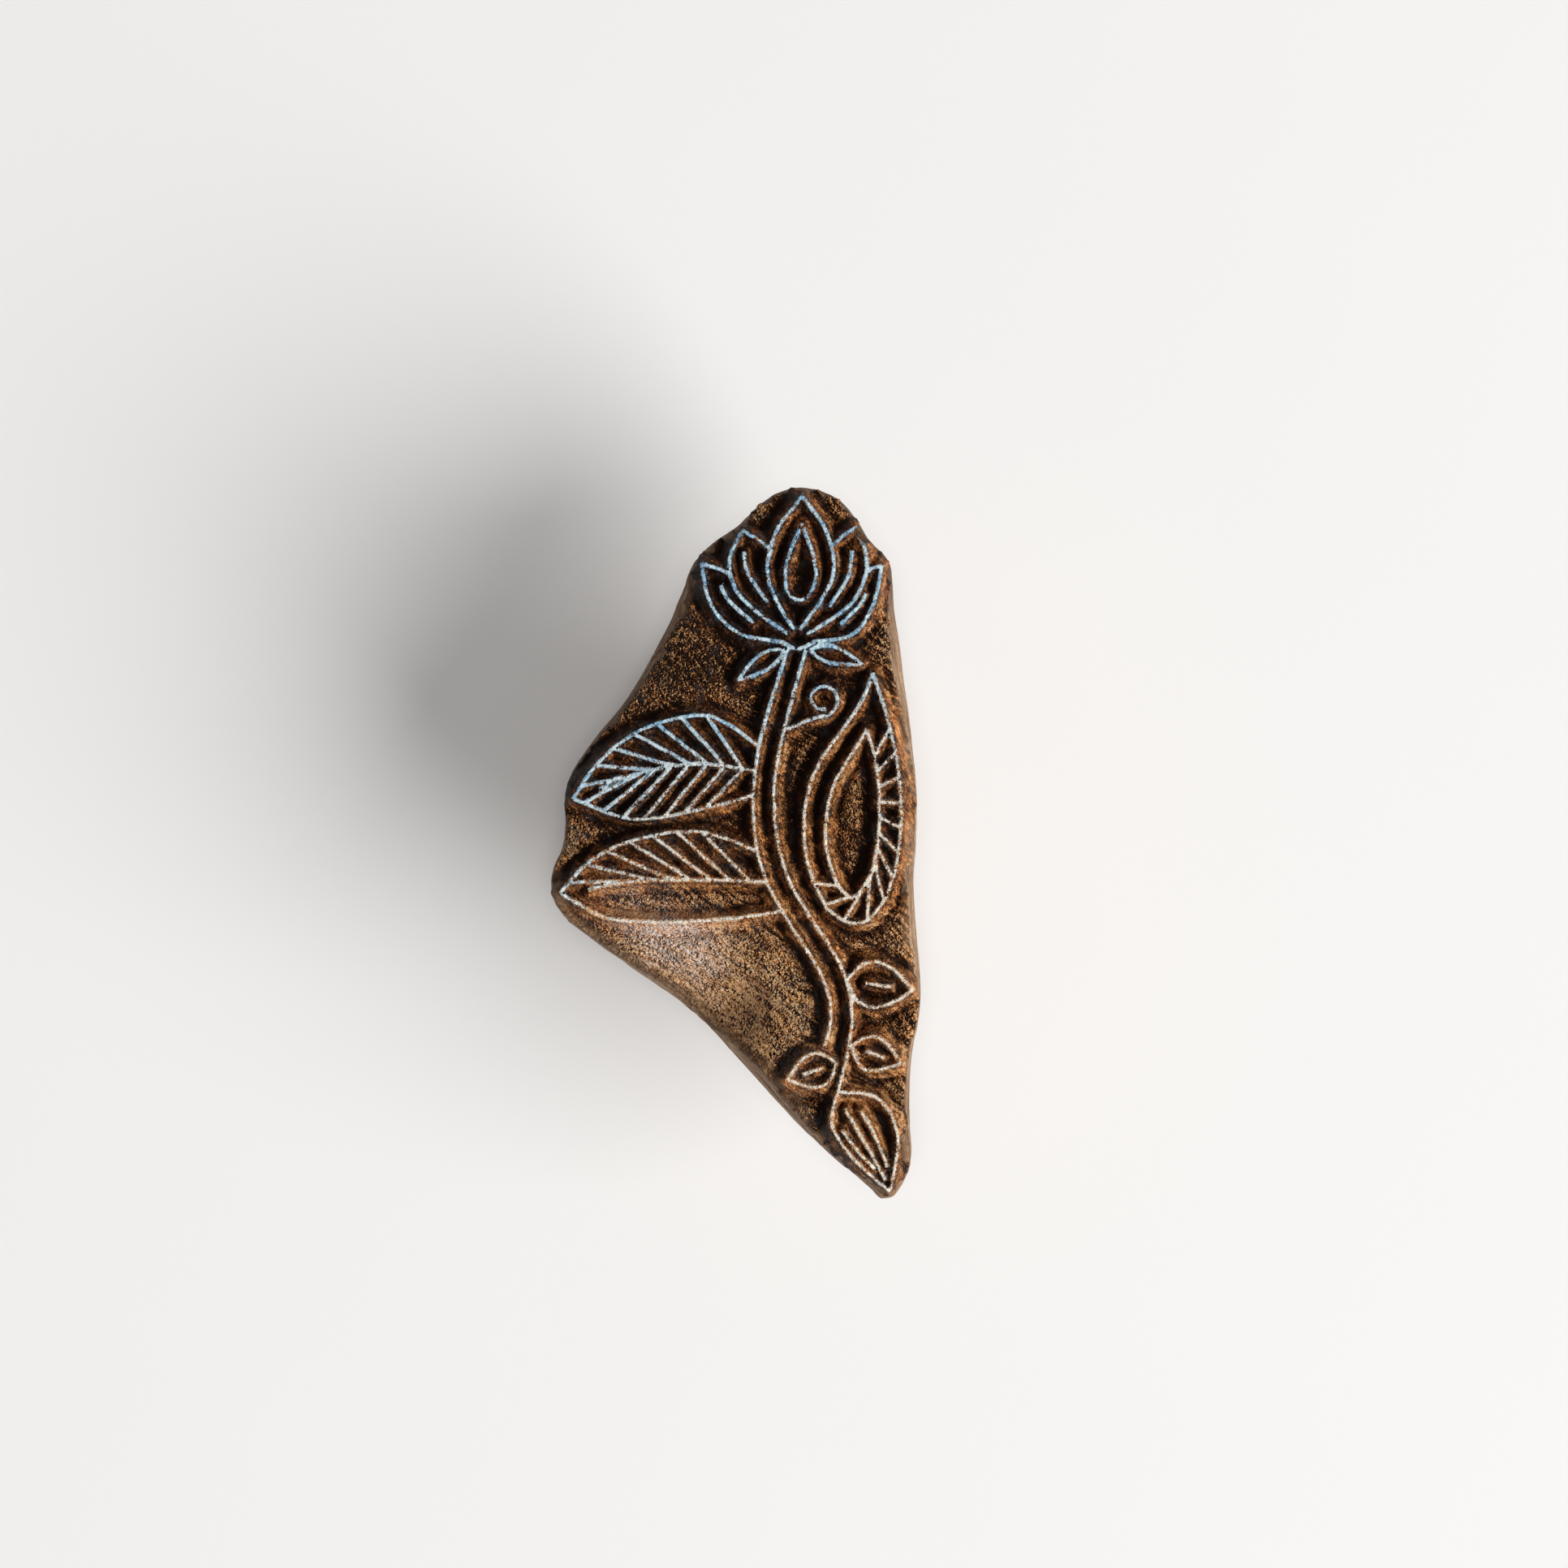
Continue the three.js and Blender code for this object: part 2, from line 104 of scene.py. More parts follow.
# Where the photograph's middle falls on the printing face, and how wide its view is there.
PHOTO_CENTRE = (0.0061, 0.0076)
PHOTO_SPAN = 0.1963


def length_setting(name, description, default):
    return bpy.props.FloatProperty(name=name, description=description, default=default,
                                   unit="LENGTH", subtype="DISTANCE")


def angle_setting(name, description, default):
    return bpy.props.FloatProperty(name=name, description=description, default=default,
                                   unit="ROTATION", subtype="ANGLE")


def share_setting(name, description, default):
    return bpy.props.FloatProperty(name=name, description=description, default=default,
                                   min=0, max=1, subtype="FACTOR")


def colour_setting(name, description, default):
    return bpy.props.FloatVectorProperty(name=name, description=description, default=default,
                                         subtype="COLOR", size=3, min=0, max=1)


class CarvingSettings(bpy.types.PropertyGroup):
    """How the face is cut."""

    pitch: length_setting(
        "Mesh pitch", "Distance between the points of the carved surface", 0.0002)
    draft: angle_setting(
        "Ridge draft", "How far the flank of a ridge leans out", math.radians(27))
    lift: length_setting(
        "Lift", "How much shallower the hand-cut ground is than the solid's", 0.0004)
    groove: length_setting("Groove", "Extra depth of the cut beside a ridge", 0.00025)
    mound: length_setting(
        "Mound", "How far the ground rises again away from the ridges", 0.0008)
    wobble: length_setting("Wobble", "How far the hand-cut lines stray", 0.00007)
    gouge_width: length_setting("Gouge width", "Width of one gouge mark", 0.0017)
    gouge_depth: length_setting("Gouge depth", "Depth of one gouge mark", 0.00022)
    worn_edge: length_setting(
        "Worn edge", "Rounding of the edge between the ground and the sides", 0.0008)
    broken_edge: length_setting(
        "Broken edge", "Depth of the deepest chips along the edge of the face", 0.0011)
    back_arris: length_setting("Back arris", "Rounding of the edge of the flat back", 0.0010)


class FinishSettings(bpy.types.PropertyGroup):
    """Colours of the wood, the paint and the nails."""

    soot_wood: colour_setting("Soot", "Deepest colour in the grooves", (0.010, 0.0034, 0.0012))
    dark_wood: colour_setting("Dark wood", "Dark grain", (0.042, 0.0132, 0.0038))
    brown_wood: colour_setting("Brown wood", "Body of the wood", (0.135, 0.0480, 0.0130))
    orange_wood: colour_setting("Orange wood", "Torn fibres", (0.400, 0.1560, 0.0480))
    tan_wood: colour_setting("Tan wood", "Fibre ends and worn edges", (0.660, 0.3350, 0.1250))
    pale_wood: colour_setting("Pale wood", "Brightest fibre ends", (0.800, 0.5200, 0.2700))
    side_wood: colour_setting("Side wood", "Filed sides", (0.620, 0.4150, 0.2500))
    # The dust colour is also the colour of the painted sheen on the shoulder.
    dust_and_sheen: colour_setting("Dust", "Dry dust in the pores", (0.850, 0.6900, 0.6100))
    blue_paint: colour_setting("Blue paint", "Dried paint at the head", (0.225, 0.5650, 0.7150))
    deep_paint: colour_setting("Deep paint", "Where the blue lies thick", (0.120, 0.4000, 0.6600))
    cream_paint: colour_setting("Cream paint", "Dried paint at the foot", (0.810, 0.6500, 0.4500))
    grip_wood: colour_setting("Grip wood", "Handled wood of the grip", (0.260, 0.1250, 0.0520))
    nail_steel: colour_setting("Nail steel", "Dull wire of the nails", (0.330, 0.3100, 0.2900))


class ScatterSettings(bpy.types.PropertyGroup):
    """The loose matter: torn fibres on the cut ground and crumbs of paint on the ridges."""

    fibre_density: bpy.props.FloatProperty(
        name="Fibres", description="Torn fibres on a square millimetre", default=1.5, min=0)
    fibre_length: length_setting("Fibre length", "Length of the longest fibre", 0.0008)
    crumb_density: bpy.props.FloatProperty(
        name="Crumbs", description="Crumbs of paint on a square millimetre", default=4.0, min=0)
    crumb_size: length_setting("Crumb size", "Width of the largest crumb", 0.00034)


class StudioSettings(bpy.types.PropertyGroup):
    """The camera, the lamps, the sky and the floor."""

    camera_height: length_setting("Camera height", "Camera above the printing face", 0.56)
    lamp_azimuth: angle_setting(
        "Lamp azimuth", "Direction of the lamp, from +X towards +Y", -0.45)
    lamp_elevation: angle_setting("Lamp elevation", "Height of the lamp above the floor", 0.69)
    lamp_radius: angle_setting(
        "Lamp angular radius", "Half the angle that the lamp fills", 0.39)
    overhead_radius: angle_setting(
        "Overhead angular radius", "Half the angle that the overhead lamp fills", 0.10)
    lamp_distance: length_setting("Lamp distance", "From each lamp to the block", 3.0)
    lamp_share: share_setting(
        "Lamp share", "Share of the floor's light that the main lamp gives", 0.62)
    sky_share: share_setting(
        "Sky share", "Share of the floor's light that comes from all round", 0.125)
    background: share_setting(
        "Background", "Brightness of the background that the camera sees", 0.9)
    floor: bpy.props.FloatVectorProperty(
        name="Floor", description="Colour of the pale floor", subtype="COLOR", size=3,
        default=(0.900, 0.888, 0.873))


# Noise, all of it seeded

def hashed(ix, iy, seed):
    """A number from 0 to 1 for each whole-numbered cell."""
    n = (ix * 374761393 + iy * 668265263 + seed * 1274126177) & 0xFFFFFFFF
    n = ((n ^ (n >> 13)) * 1103515245) & 0xFFFFFFFF
    return ((n ^ (n >> 16)) & 0xFFFFFF) / float(0xFFFFFF)


def noise(x, y, size, seed):
    """Smooth noise from -1 to 1 with features of the given size."""
    x, y = np.asarray(x) / size, np.asarray(y) / size
    ix, iy = np.floor(x).astype(np.int64), np.floor(y).astype(np.int64)
    fx, fy = x - ix, y - iy
    fx, fy = fx * fx * (3 - 2 * fx), fy * fy * (3 - 2 * fy)
    low = hashed(ix, iy, seed) * (1 - fx) + hashed(ix + 1, iy, seed) * fx
    high = hashed(ix, iy + 1, seed) * (1 - fx) + hashed(ix + 1, iy + 1, seed) * fx
    return 2 * (low * (1 - fy) + high * fy) - 1


def layered(x, y, size, seed, layers=3):
    """Noise of several sizes, each half the last."""
    total = sum(noise(x, y, size / 2 ** i, seed + 17 * i) / 2 ** i for i in range(layers))
    return total / (2 - 2 ** (1 - layers))


def turned(x, y, degrees):
    """Coordinates along and across a direction."""
    c, s = math.cos(math.radians(degrees)), math.sin(math.radians(degrees))
    return x * c + y * s, y * c - x * s


def scallops(x, y, width, length, degrees, seed):
    """Gouge marks: 0 in the middle of a mark, rising to 1 on the crest between two."""
    along, across = turned(x, y, degrees)
    u, v = along / length, across / width
    cu, cv = np.floor(u).astype(np.int64), np.floor(v).astype(np.int64)
    nearest = np.full(np.shape(u), np.inf)
    for du in (-1, 0, 1):
        for dv in (-1, 0, 1):
            iu, iv = cu + du, cv + dv
            pu = iu + 0.5 + 0.8 * (hashed(iu, iv, seed) - 0.5)
            pv = iv + 0.5 + 0.7 * (hashed(iu, iv, seed + 5) - 0.5)
            nearest = np.minimum(nearest, (u - pu) ** 2 + (v - pv) ** 2)
    return np.minimum(nearest, 1.0)


def smooth_step(low, high, x):
    """A smooth rise from 0 to 1 between two values, or a fall where the first is the higher."""
    t = np.clip((x - low) / (high - low), 0, 1)
    return t * t * (3 - 2 * t)


def smaller(a, b, blend):
    """The smaller of two, with a rounded corner where they cross."""
    h = np.clip(0.5 + 0.5 * (b - a) / blend, 0, 1)
    return b * (1 - h) + a * h - blend * h * (1 - h)


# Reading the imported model

def mesh_arrays(mesh):
    """A mesh's points in millimetres, and its triangles."""
    points = np.empty(len(mesh.vertices) * 3)
    mesh.vertices.foreach_get("co", points)
    mesh.calc_loop_triangles()
    triangles = np.empty(len(mesh.loop_triangles) * 3, dtype=np.int32)
    mesh.loop_triangles.foreach_get("vertices", triangles)
    return points.reshape(-1, 3) * MM, triangles.reshape(-1, 3)


def node_arrays(node):
    """A CAD node's points in millimetres, each once, and its triangles."""
    points, triangles = mesh_arrays(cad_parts[node].data)
    points, once = np.unique(np.round(points, 4), axis=0, return_inverse=True)
    return points, once.reshape(-1)[triangles]


def edges_of(triangles):
    """The three directed edges of each triangle."""
    return np.concatenate([triangles[:, [0, 1]], triangles[:, [1, 2]], triangles[:, [2, 0]]])


def loose_edges(triangles):
    """The directed edges that only one of the triangles has."""
    edges = edges_of(triangles)
    _, which, count = np.unique(np.sort(edges, axis=1), axis=0, return_inverse=True,
                                return_counts=True)
    return edges[count[which.reshape(-1)] == 1]


def loops_of(edges):
    """The closed loops of point numbers in a set of directed edges, the longest first."""
    ends = {}
    for a, b in edges.tolist():
        ends.setdefault(a, []).append(b)
    loops = []
    while ends:
        here = next(iter(ends))
        loop = []
        while here in ends:
            loop.append(here)
            step = ends[here].pop()
            if not ends[here]:
                del ends[here]
            here = step
        loops.append(loop)
    return sorted(loops, key=len, reverse=True)


def relaxed(loop, step, corner, rounds):
    """A closed loop of places, evenly spaced, and smoothed everywhere but at its corners."""
    run = after(loop) - loop
    before = np.roll(run, 1, axis=0)
    bend = np.arctan2(before[:, 0] * run[:, 1] - before[:, 1] * run[:, 0],
                      (before * run).sum(axis=1))
    counts = np.maximum(1, np.round(np.linalg.norm(run, axis=1) / step)).astype(int)
    share = np.concatenate([np.arange(n) / n for n in counts])[:, None]
    places = np.repeat(loop, counts, axis=0) + np.repeat(run, counts, axis=0) * share
    kept = np.zeros((len(places), 1), dtype=bool)
    kept[np.concatenate([[0], np.cumsum(counts)[:-1]])[np.abs(bend) > corner]] = True
    for _ in range(rounds):
        middle = (np.roll(places, 1, axis=0) + after(places)) / 2
        places = np.where(kept, places, (places + middle) / 2)
    return places


def raised(places, height):
    """Places on a plane, with one height for all or a height for each."""
    return np.column_stack([places, np.broadcast_to(height, len(places))])


def filled(loops, low, shape, cell):
    """A grid of what lies inside closed loops."""
    a = np.concatenate(loops)
    b = np.concatenate([after(loop) for loop in loops])
    grid = np.zeros(shape, dtype=bool)
    for j in range(shape[0]):
        y = low[1] + j * cell
        cut = (a[:, 1] > y) != (b[:, 1] > y)
        p, q = a[cut], b[cut]
        x = p[:, 0] + (y - p[:, 1]) * (q[:, 0] - p[:, 0]) / (q[:, 1] - p[:, 1])
        column = np.clip(np.ceil((x - low[0]) / cell), 0, shape[1]).astype(int)
        grid[j] = np.cumsum(np.bincount(column, minlength=shape[1] + 1)[:-1]) % 2 == 1
    return grid


def after(ring):
    """For each point of a closed ring, the next one."""
    return np.roll(ring, -1, axis=0)


def sampled(a, b, step):
    """Points along many straight edges, no further apart than the step, and for each of them
    the number of its edge plus its share of the way along it."""
    counts = np.maximum(1, np.ceil(np.linalg.norm(b - a, axis=1) / step).astype(int))
    edge = np.repeat(np.arange(len(a)), counts)
    share = np.concatenate([np.arange(n) / n for n in counts])
    return a[edge] + (b - a)[edge] * share[:, None], edge + share


def outward(ring, reach):
    """Unit vectors out of an anticlockwise ring, from the run of the points so far round each."""
    run = np.roll(ring, -reach, axis=0) - np.roll(ring, reach, axis=0)
    out = np.column_stack([run[:, 1], -run[:, 0]])
    return out / np.linalg.norm(out, axis=1)[:, None]


def unit_circle(sides):
    """Angles round a circle, and the points that they give at a radius of 1."""
    turn = 2 * math.pi * np.arange(sides) / sides
    return turn, np.column_stack([np.cos(turn), np.sin(turn)])


def nail_axis(nail):
    """Where a nail's axis stands, in millimetres."""
    low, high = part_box(nail)
    return (np.array(low[:2]) + np.array(high[:2])) * MM / 2


def tree_of(points):
    """A search tree of places on a plane."""
    tree = KDTree(len(points))
    for i, p in enumerate(points):
        tree.insert((p[0], p[1], 0.0), i)
    tree.balance()
    return tree


def nearest(tree, x, y):
    """For each place, the distance to the nearest point of a tree, and its number."""
    found = [tree.find((px, py, 0.0)) for px, py in zip(x, y)]
    return np.array([f[2] for f in found]), np.array([f[1] for f in found])


class Blank:
    """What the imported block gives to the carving: ridge tops, ground, sides and nail holes.
    All of it is in millimetres."""

    SAME_LEVEL = 0.002      # Points that differ less in height are at one level.
    RIDGE_STEP = 0.06       # Between the points of the ridge tops' edges.
    RIDGE_CELL = 0.1        # Of the grid that tells the ridge tops from the ground.
    GROUND_CELL = 0.5       # Of the grid of the ground's depth.
    RIDGE_FOOT = 1.2        # The ground is read no closer to a ridge top.
    ROUND_BLUR = 15         # How many neighbours each side point is smoothed with, each way.
    CURVE_STEPS = 12        # Points of the smooth curve for each point of the solid's ring.
    RAY_START = 5           # Rays at the solid start this far outside it.
    LEVEL_GROUND = 0.6      # The ground is read where its normal rises at least this much.
    HOLE_TOP = 4            # The nails' holes end further than this below the face.

    def __init__(self, carving):
        self.carving = carving
        self.points, self.triangles = node_arrays("carved_block")
        self.face = self.points[:, 2].max()
        self.back = self.points[:, 2].min()
        self.solid = BVHTree.FromPolygons(self.points.tolist(), self.triangles.tolist())
        self.read_ridges()
        self.read_sides()
        self.read_ground()
        self.measure_sides()
        self.nail_holes = [self.read_nail_hole(node) for node in NAILS]

    def read_ridges(self):
        height = self.points[:, 2][self.triangles]
        tops = self.triangles[height.min(axis=1) > self.face - self.SAME_LEVEL]
        loops = [relaxed(self.points[loop, :2], step=0.25, corner=math.radians(30), rounds=36)
                 for loop in loops_of(loose_edges(tops))]
        start = np.concatenate(loops)
        end = np.concatenate([after(loop) for loop in loops])
        self.ridge_edge, _ = sampled(start, end, self.RIDGE_STEP)
        run = sampled(end, 2 * end - start, self.RIDGE_STEP)[0] - self.ridge_edge
        self.ridge_out = np.column_stack([run[:, 1], -run[:, 0]])
        self.ridge_tree = tree_of(self.ridge_edge)
        self.ridge_low = self.points[:, :2].min(axis=0) - 1
        size = (self.points[:, :2].max(axis=0) + 1 - self.ridge_low) / self.RIDGE_CELL
        self.ridge_grid = filled(loops, self.ridge_low, (int(size[1]), int(size[0])),
                                 self.RIDGE_CELL)

    def ridge_distance(self, x, y):
        """Signed distance to the edge of the nearest ridge top, below 0 on a top, and the way
        to that edge."""
        stray = self.carving.wobble * MM
        wx = x + stray * layered(x, y, 1.6, 11, 2)
        wy = y + stray * layered(x, y, 1.6, 12, 2)
        distance, which = nearest(self.ridge_tree, wx, wy)
        toward = self.ridge_edge[which] - np.column_stack([wx, wy])
        beside = (toward * self.ridge_out[which]).sum(axis=1) > 0
        i = np.round((wx - self.ridge_low[0]) / self.RIDGE_CELL).astype(int)
        j = np.round((wy - self.ridge_low[1]) / self.RIDGE_CELL).astype(int)
        rows, columns = self.ridge_grid.shape
        on_top = self.ridge_grid[np.clip(j, 0, rows - 1), np.clip(i, 0, columns - 1)]
        on_top = np.where(distance < 0.2, beside, on_top)
        return np.where(on_top, -distance, distance), toward

    def read_sides(self):
        """The ring where the sides meet the arris of the back, run through by a smooth curve."""
        # The arris ends at the lowest level above the back that has a whole ring of points.
        levels, counts = np.unique(np.round(self.points[:, 2], 3), return_counts=True)
        self.arris = levels[(levels > self.back + 0.1) & (counts > 60)].min()
        on_ring = np.abs(self.points[:, 2] - self.arris) < self.SAME_LEVEL
        edges = edges_of(self.triangles)
        edges = edges[on_ring[edges].all(axis=1)]
        run = self.points[edges[:, 1], :2] - self.points[edges[:, 0], :2]
        middle = self.points[on_ring, :2].mean(axis=0)
        out = self.points[edges[:, 0], :2] - middle
        edges = edges[out[:, 0] * run[:, 1] - out[:, 1] * run[:, 0] > 0]
        ring = self.points[loops_of(edges)[0], :2]
        steps = np.linspace(0, 1, self.CURVE_STEPS, endpoint=False)[None, :, None]
        p0, p1, p2, p3 = (np.roll(ring, k, axis=0)[:, None, :] for k in (1, 0, -1, -2))
        curve = p1 + 0.5 * steps * (p2 - p0 + steps * (
            2 * p0 - 5 * p1 + 4 * p2 - p3 + steps * (3 * (p1 - p2) + p3 - p0)))
        self.ring = curve.reshape(-1, 2)
        self.out = outward(self.ring, 3)

    def edge_radius(self):
        """How tightly the ring curves, as a radius beside each of its points."""
        span, turn = (np.linalg.norm(np.roll(v, -8, axis=0) - np.roll(v, 8, axis=0), axis=1)
                      for v in (self.ring, self.out))
        return round_blurred((span / np.maximum(turn, 0.02))[:, None], 6)[:, 0]

    def read_ground(self):
        """The depth of the ground below the face on a grid, with the ridges taken off it."""
        cell = self.GROUND_CELL
        low, high = self.ring.min(axis=0) - 2, self.ring.max(axis=0) + 2
        self.ground_low = low
        nx, ny = np.ceil((high - low) / cell).astype(int) + 1
        gx, gy = np.meshgrid(low[0] + cell * np.arange(nx), low[1] + cell * np.arange(ny))
        depth = np.full(gx.size, np.nan)
        down = Vector((0, 0, -1))
        for i, (x, y) in enumerate(zip(gx.ravel(), gy.ravel())):
            hit, normal = self.solid.ray_cast(Vector((x, y, self.face + self.RAY_START)), down)[:2]
            if hit is not None and normal.z > self.LEVEL_GROUND:
                depth[i] = self.face - hit.z
        distance, _ = nearest(self.ridge_tree, gx.ravel(), gy.ravel())
        depth[distance < self.RIDGE_FOOT] = np.nan
        known = ~np.isnan(depth)
        spots = tree_of(np.column_stack([gx.ravel()[known], gy.ravel()[known]]))
        _, which = nearest(spots, gx.ravel(), gy.ravel())
        filled = depth[known][which].reshape(gx.shape)
        kept, known = filled.copy(), known.reshape(gx.shape)
        rounds, free_rounds = 120, 4
        for step in range(rounds):
            filled = blurred_once(filled)
            if step < rounds - free_rounds:
                filled[known] = kept[known]
        self.ground = filled

    def ground_depth(self, x, y):
        return bilinear(self.ground, (x - self.ground_low[0]) / self.GROUND_CELL,
                        (y - self.ground_low[1]) / self.GROUND_CELL)

    def measure_sides(self):
        """How far the sides lie outside the ring, at a few heights up to the ground."""
        rim = self.ring - 1.5 * self.out
        self.rim_top = self.face - self.ground_depth(rim[:, 0], rim[:, 1]) - BELOW_RIM
        self.shares = np.linspace(0, 1, 6)
        offsets = np.full((len(self.ring), len(self.shares)), np.nan)
        for i, (place, out) in enumerate(zip(self.ring, self.out)):
            inward = Vector((-out[0], -out[1], 0))
            for j, share in enumerate(self.shares):
                z = self.arris + 0.01 + share * (self.rim_top[i] - self.arris)
                start = Vector((*(place + self.RAY_START * out), z))
                hit = self.solid.ray_cast(start, inward, 12)[0]
                if hit is not None:
                    offsets[i, j] = self.RAY_START - (hit - start).length
        for j in range(1, len(self.shares)):
            lost = np.isnan(offsets[:, j])
            offsets[lost, j] = offsets[lost, j - 1]
        offsets[:, 0] = np.nan_to_num(offsets[:, 0])
        self.offsets = round_blurred(offsets, self.ROUND_BLUR)
        self.rim_top = round_blurred(self.rim_top[:, None], self.ROUND_BLUR)[:, 0]

    def side_offset(self, at, z):
        """How far out of the ring the side lies at a height, beside given points of the ring."""
        share = (z - self.arris) / (self.rim_top[at] - self.arris)
        place = np.clip(share * (len(self.shares) - 1), 0, None)
        low = np.minimum(place.astype(int), len(self.shares) - 2)
        part = place - low
        return self.offsets[at, low] * (1 - part) + self.offsets[at, low + 1] * part

    def side(self, at, z):
        """Points of the side at given heights, beside points of the ring or between two."""
        first = np.floor(at).astype(int)
        place = 0
        for step, share in ((0, 1 - (at - first)), (1, at - first)):
            beside = (first + step) % len(self.ring)
            offset = self.side_offset(beside, z)[:, None]
            place = place + share[:, None] * (self.ring[beside] + self.out[beside] * offset)
        return place

    def read_nail_hole(self, nail):
        """A nail's place and the profile of its hole in the block, as radii and heights."""
        middle = nail_axis(nail)
        below = self.points[self.points[:, 2] < self.face - self.HOLE_TOP]
        return middle, hole_profile(below, middle)


def blurred_once(grid):
    """A grid with each value replaced by the mean of its four neighbours."""
    padded = np.pad(grid, 1, mode="edge")
    return (padded[:-2, 1:-1] + padded[2:, 1:-1] + padded[1:-1, :-2] + padded[1:-1, 2:]) / 4


def round_blurred(values, window):
    """Values round a closed ring, averaged over a window."""
    return sum(np.roll(values, k, axis=0) for k in range(-window, window + 1)) / (2 * window + 1)


def between(values, at):
    """Values of a closed ring at places that may lie between two of its points."""
    first = np.floor(at).astype(int)
    part = (at - first).reshape((-1,) + (1,) * (values.ndim - 1))
    count = len(values)
    return values[first % count] * (1 - part) + values[(first + 1) % count] * part


def in_order(beside, count):
    """Places round a ring of so many points, moved as little as lets each follow the last."""
    least = 0.12
    steps = (np.diff(beside, append=beside[:1]) + count / 2) % count - count / 2
    place = beside[0] + np.concatenate([[0], np.cumsum(steps[:-1])])
    if steps.sum() < 0:
        raise RuntimeError("The face's edge runs the wrong way round")
    row = np.concatenate([place - count, place, place + count])
    rise = least * np.arange(len(row))
    forward = np.maximum.accumulate(row - rise)
    backward = np.minimum.accumulate((row - rise)[::-1])[::-1]
    return ((forward + backward) / 2 + rise)[len(place):2 * len(place)] % count


def bilinear(grid, u, v):
    """Values of a grid at places in cells, those outside it moved to its edge."""
    u = np.clip(u, 0, grid.shape[1] - 1.001)
    v = np.clip(v, 0, grid.shape[0] - 1.001)
    i, j = u.astype(int), v.astype(int)
    fu, fv = u - i, v - j
    low = grid[j, i] * (1 - fu) + grid[j, i + 1] * fu
    high = grid[j + 1, i] * (1 - fu) + grid[j + 1, i + 1] * fu
    return low * (1 - fv) + high * fv


def carved_height(blank, carving, x, y, from_edge):
    """The height of the carved face, and the distance to the ridges that the paint needs. Each
    noise has a size in millimetres and a seed of its own."""
    ridge, _ = blank.ridge_distance(x, y)
    away = np.clip(ridge, 0, None)
    # The ground: lower beside the ridges, higher away from them, with the marks of the gouge.
    ground = blank.ground_depth(x, y)
    gouge = carving.gouge_width * MM
    open_ground = smooth_step(0.8, 3.0, away)
    slope = smooth_step(3.4, 6.0, ground)
    ground = ground - carving.lift * MM * (1 - slope)
    ground += carving.groove * MM * np.exp(-((away - 1.1) / 0.45) ** 2)
    ground -= carving.mound * MM * open_ground * (1 - slope) * (0.8 + 0.5 * noise(x, y, 5.0, 31))
    marks = scallops(x, y, gouge, 2.6 * gouge, GRAIN_ANGLE, 41)
    marks = marks * (0.6 + 0.4 * noise(x, y, 4.0, 42))
    ground -= carving.gouge_depth * MM * marks * (0.4 + 0.6 * open_ground) * (1 - 0.7 * slope)
    along, across = turned(x, y, GRAIN_ANGLE)
    torn = smooth_step(0.1, 0.9, away)
    ground -= 0.10 * layered(along / 2.2, across, 0.9, 51, 2) * torn
    ground -= 0.09 * layered(x, y, 0.62, 55, 2) * torn
    ground -= 0.20 * layered(x, y, 2.3, 57, 2) * open_ground
    # The flanks, which lean out from the ridges and run into the ground.
    lean = math.tan(carving.draft) * (1 + 0.3 * noise(x, y, 2.6, 60))
    flank = np.clip(away - 0.02, 0, None) / lean
    flank = flank * (1 + 0.16 * noise(x, y, 0.8, 61)) + 0.25 * np.clip(away, 0, 0.2)
    cut = smaller(flank, ground, 0.4)
    # The tops: rounded, chipped and nicked, and lower where they are broad.
    chips = smooth_step(0.50, 0.80, layered(x, y, 1.5, 71, 3))
    nicks = smooth_step(0.40, 0.70, layered(x, y, 0.55, 72, 2)) * smooth_step(-0.28, -0.02, ridge)
    top = 0.06 + 0.03 * noise(x, y, 0.42, 73) + 0.45 * chips + 0.28 * nicks
    top += 0.08 * smooth_step(-0.14, 0.0, ridge) + 0.5 * smooth_step(-0.42, -0.75, ridge)
    cut = np.maximum(np.where(ridge <= 0, 0, cut), 0) + top * (1 - smooth_step(0.4, 1.0, away))
    # The edge of the face, rounded and chipped, and the splintered tip of the foot.
    rounding = carving.worn_edge * MM * (0.9 + 0.55 * layered(x, y, 3.2, 81, 2))
    near = np.clip(1 + from_edge / rounding, 0, 1)
    fall = rounding * (1 - np.sqrt(np.clip(1 - near * near, 0, 1)))
    chipped = smooth_step(0.35, 0.8, layered(x, y, 1.9, 85, 3)) * smooth_step(-1.4, -0.1, from_edge)
    cut = cut + fall + 0.6 * chipped
    foot = patch(x, y, 20, -43.5, 3.2, 4.5, 60) * smooth_step(0.3, 1.2, away)
    cut += foot * (0.35 + 0.75 * layered(along / 2.5, across, 1.1, 87, 3))
    return blank.face - cut, ridge


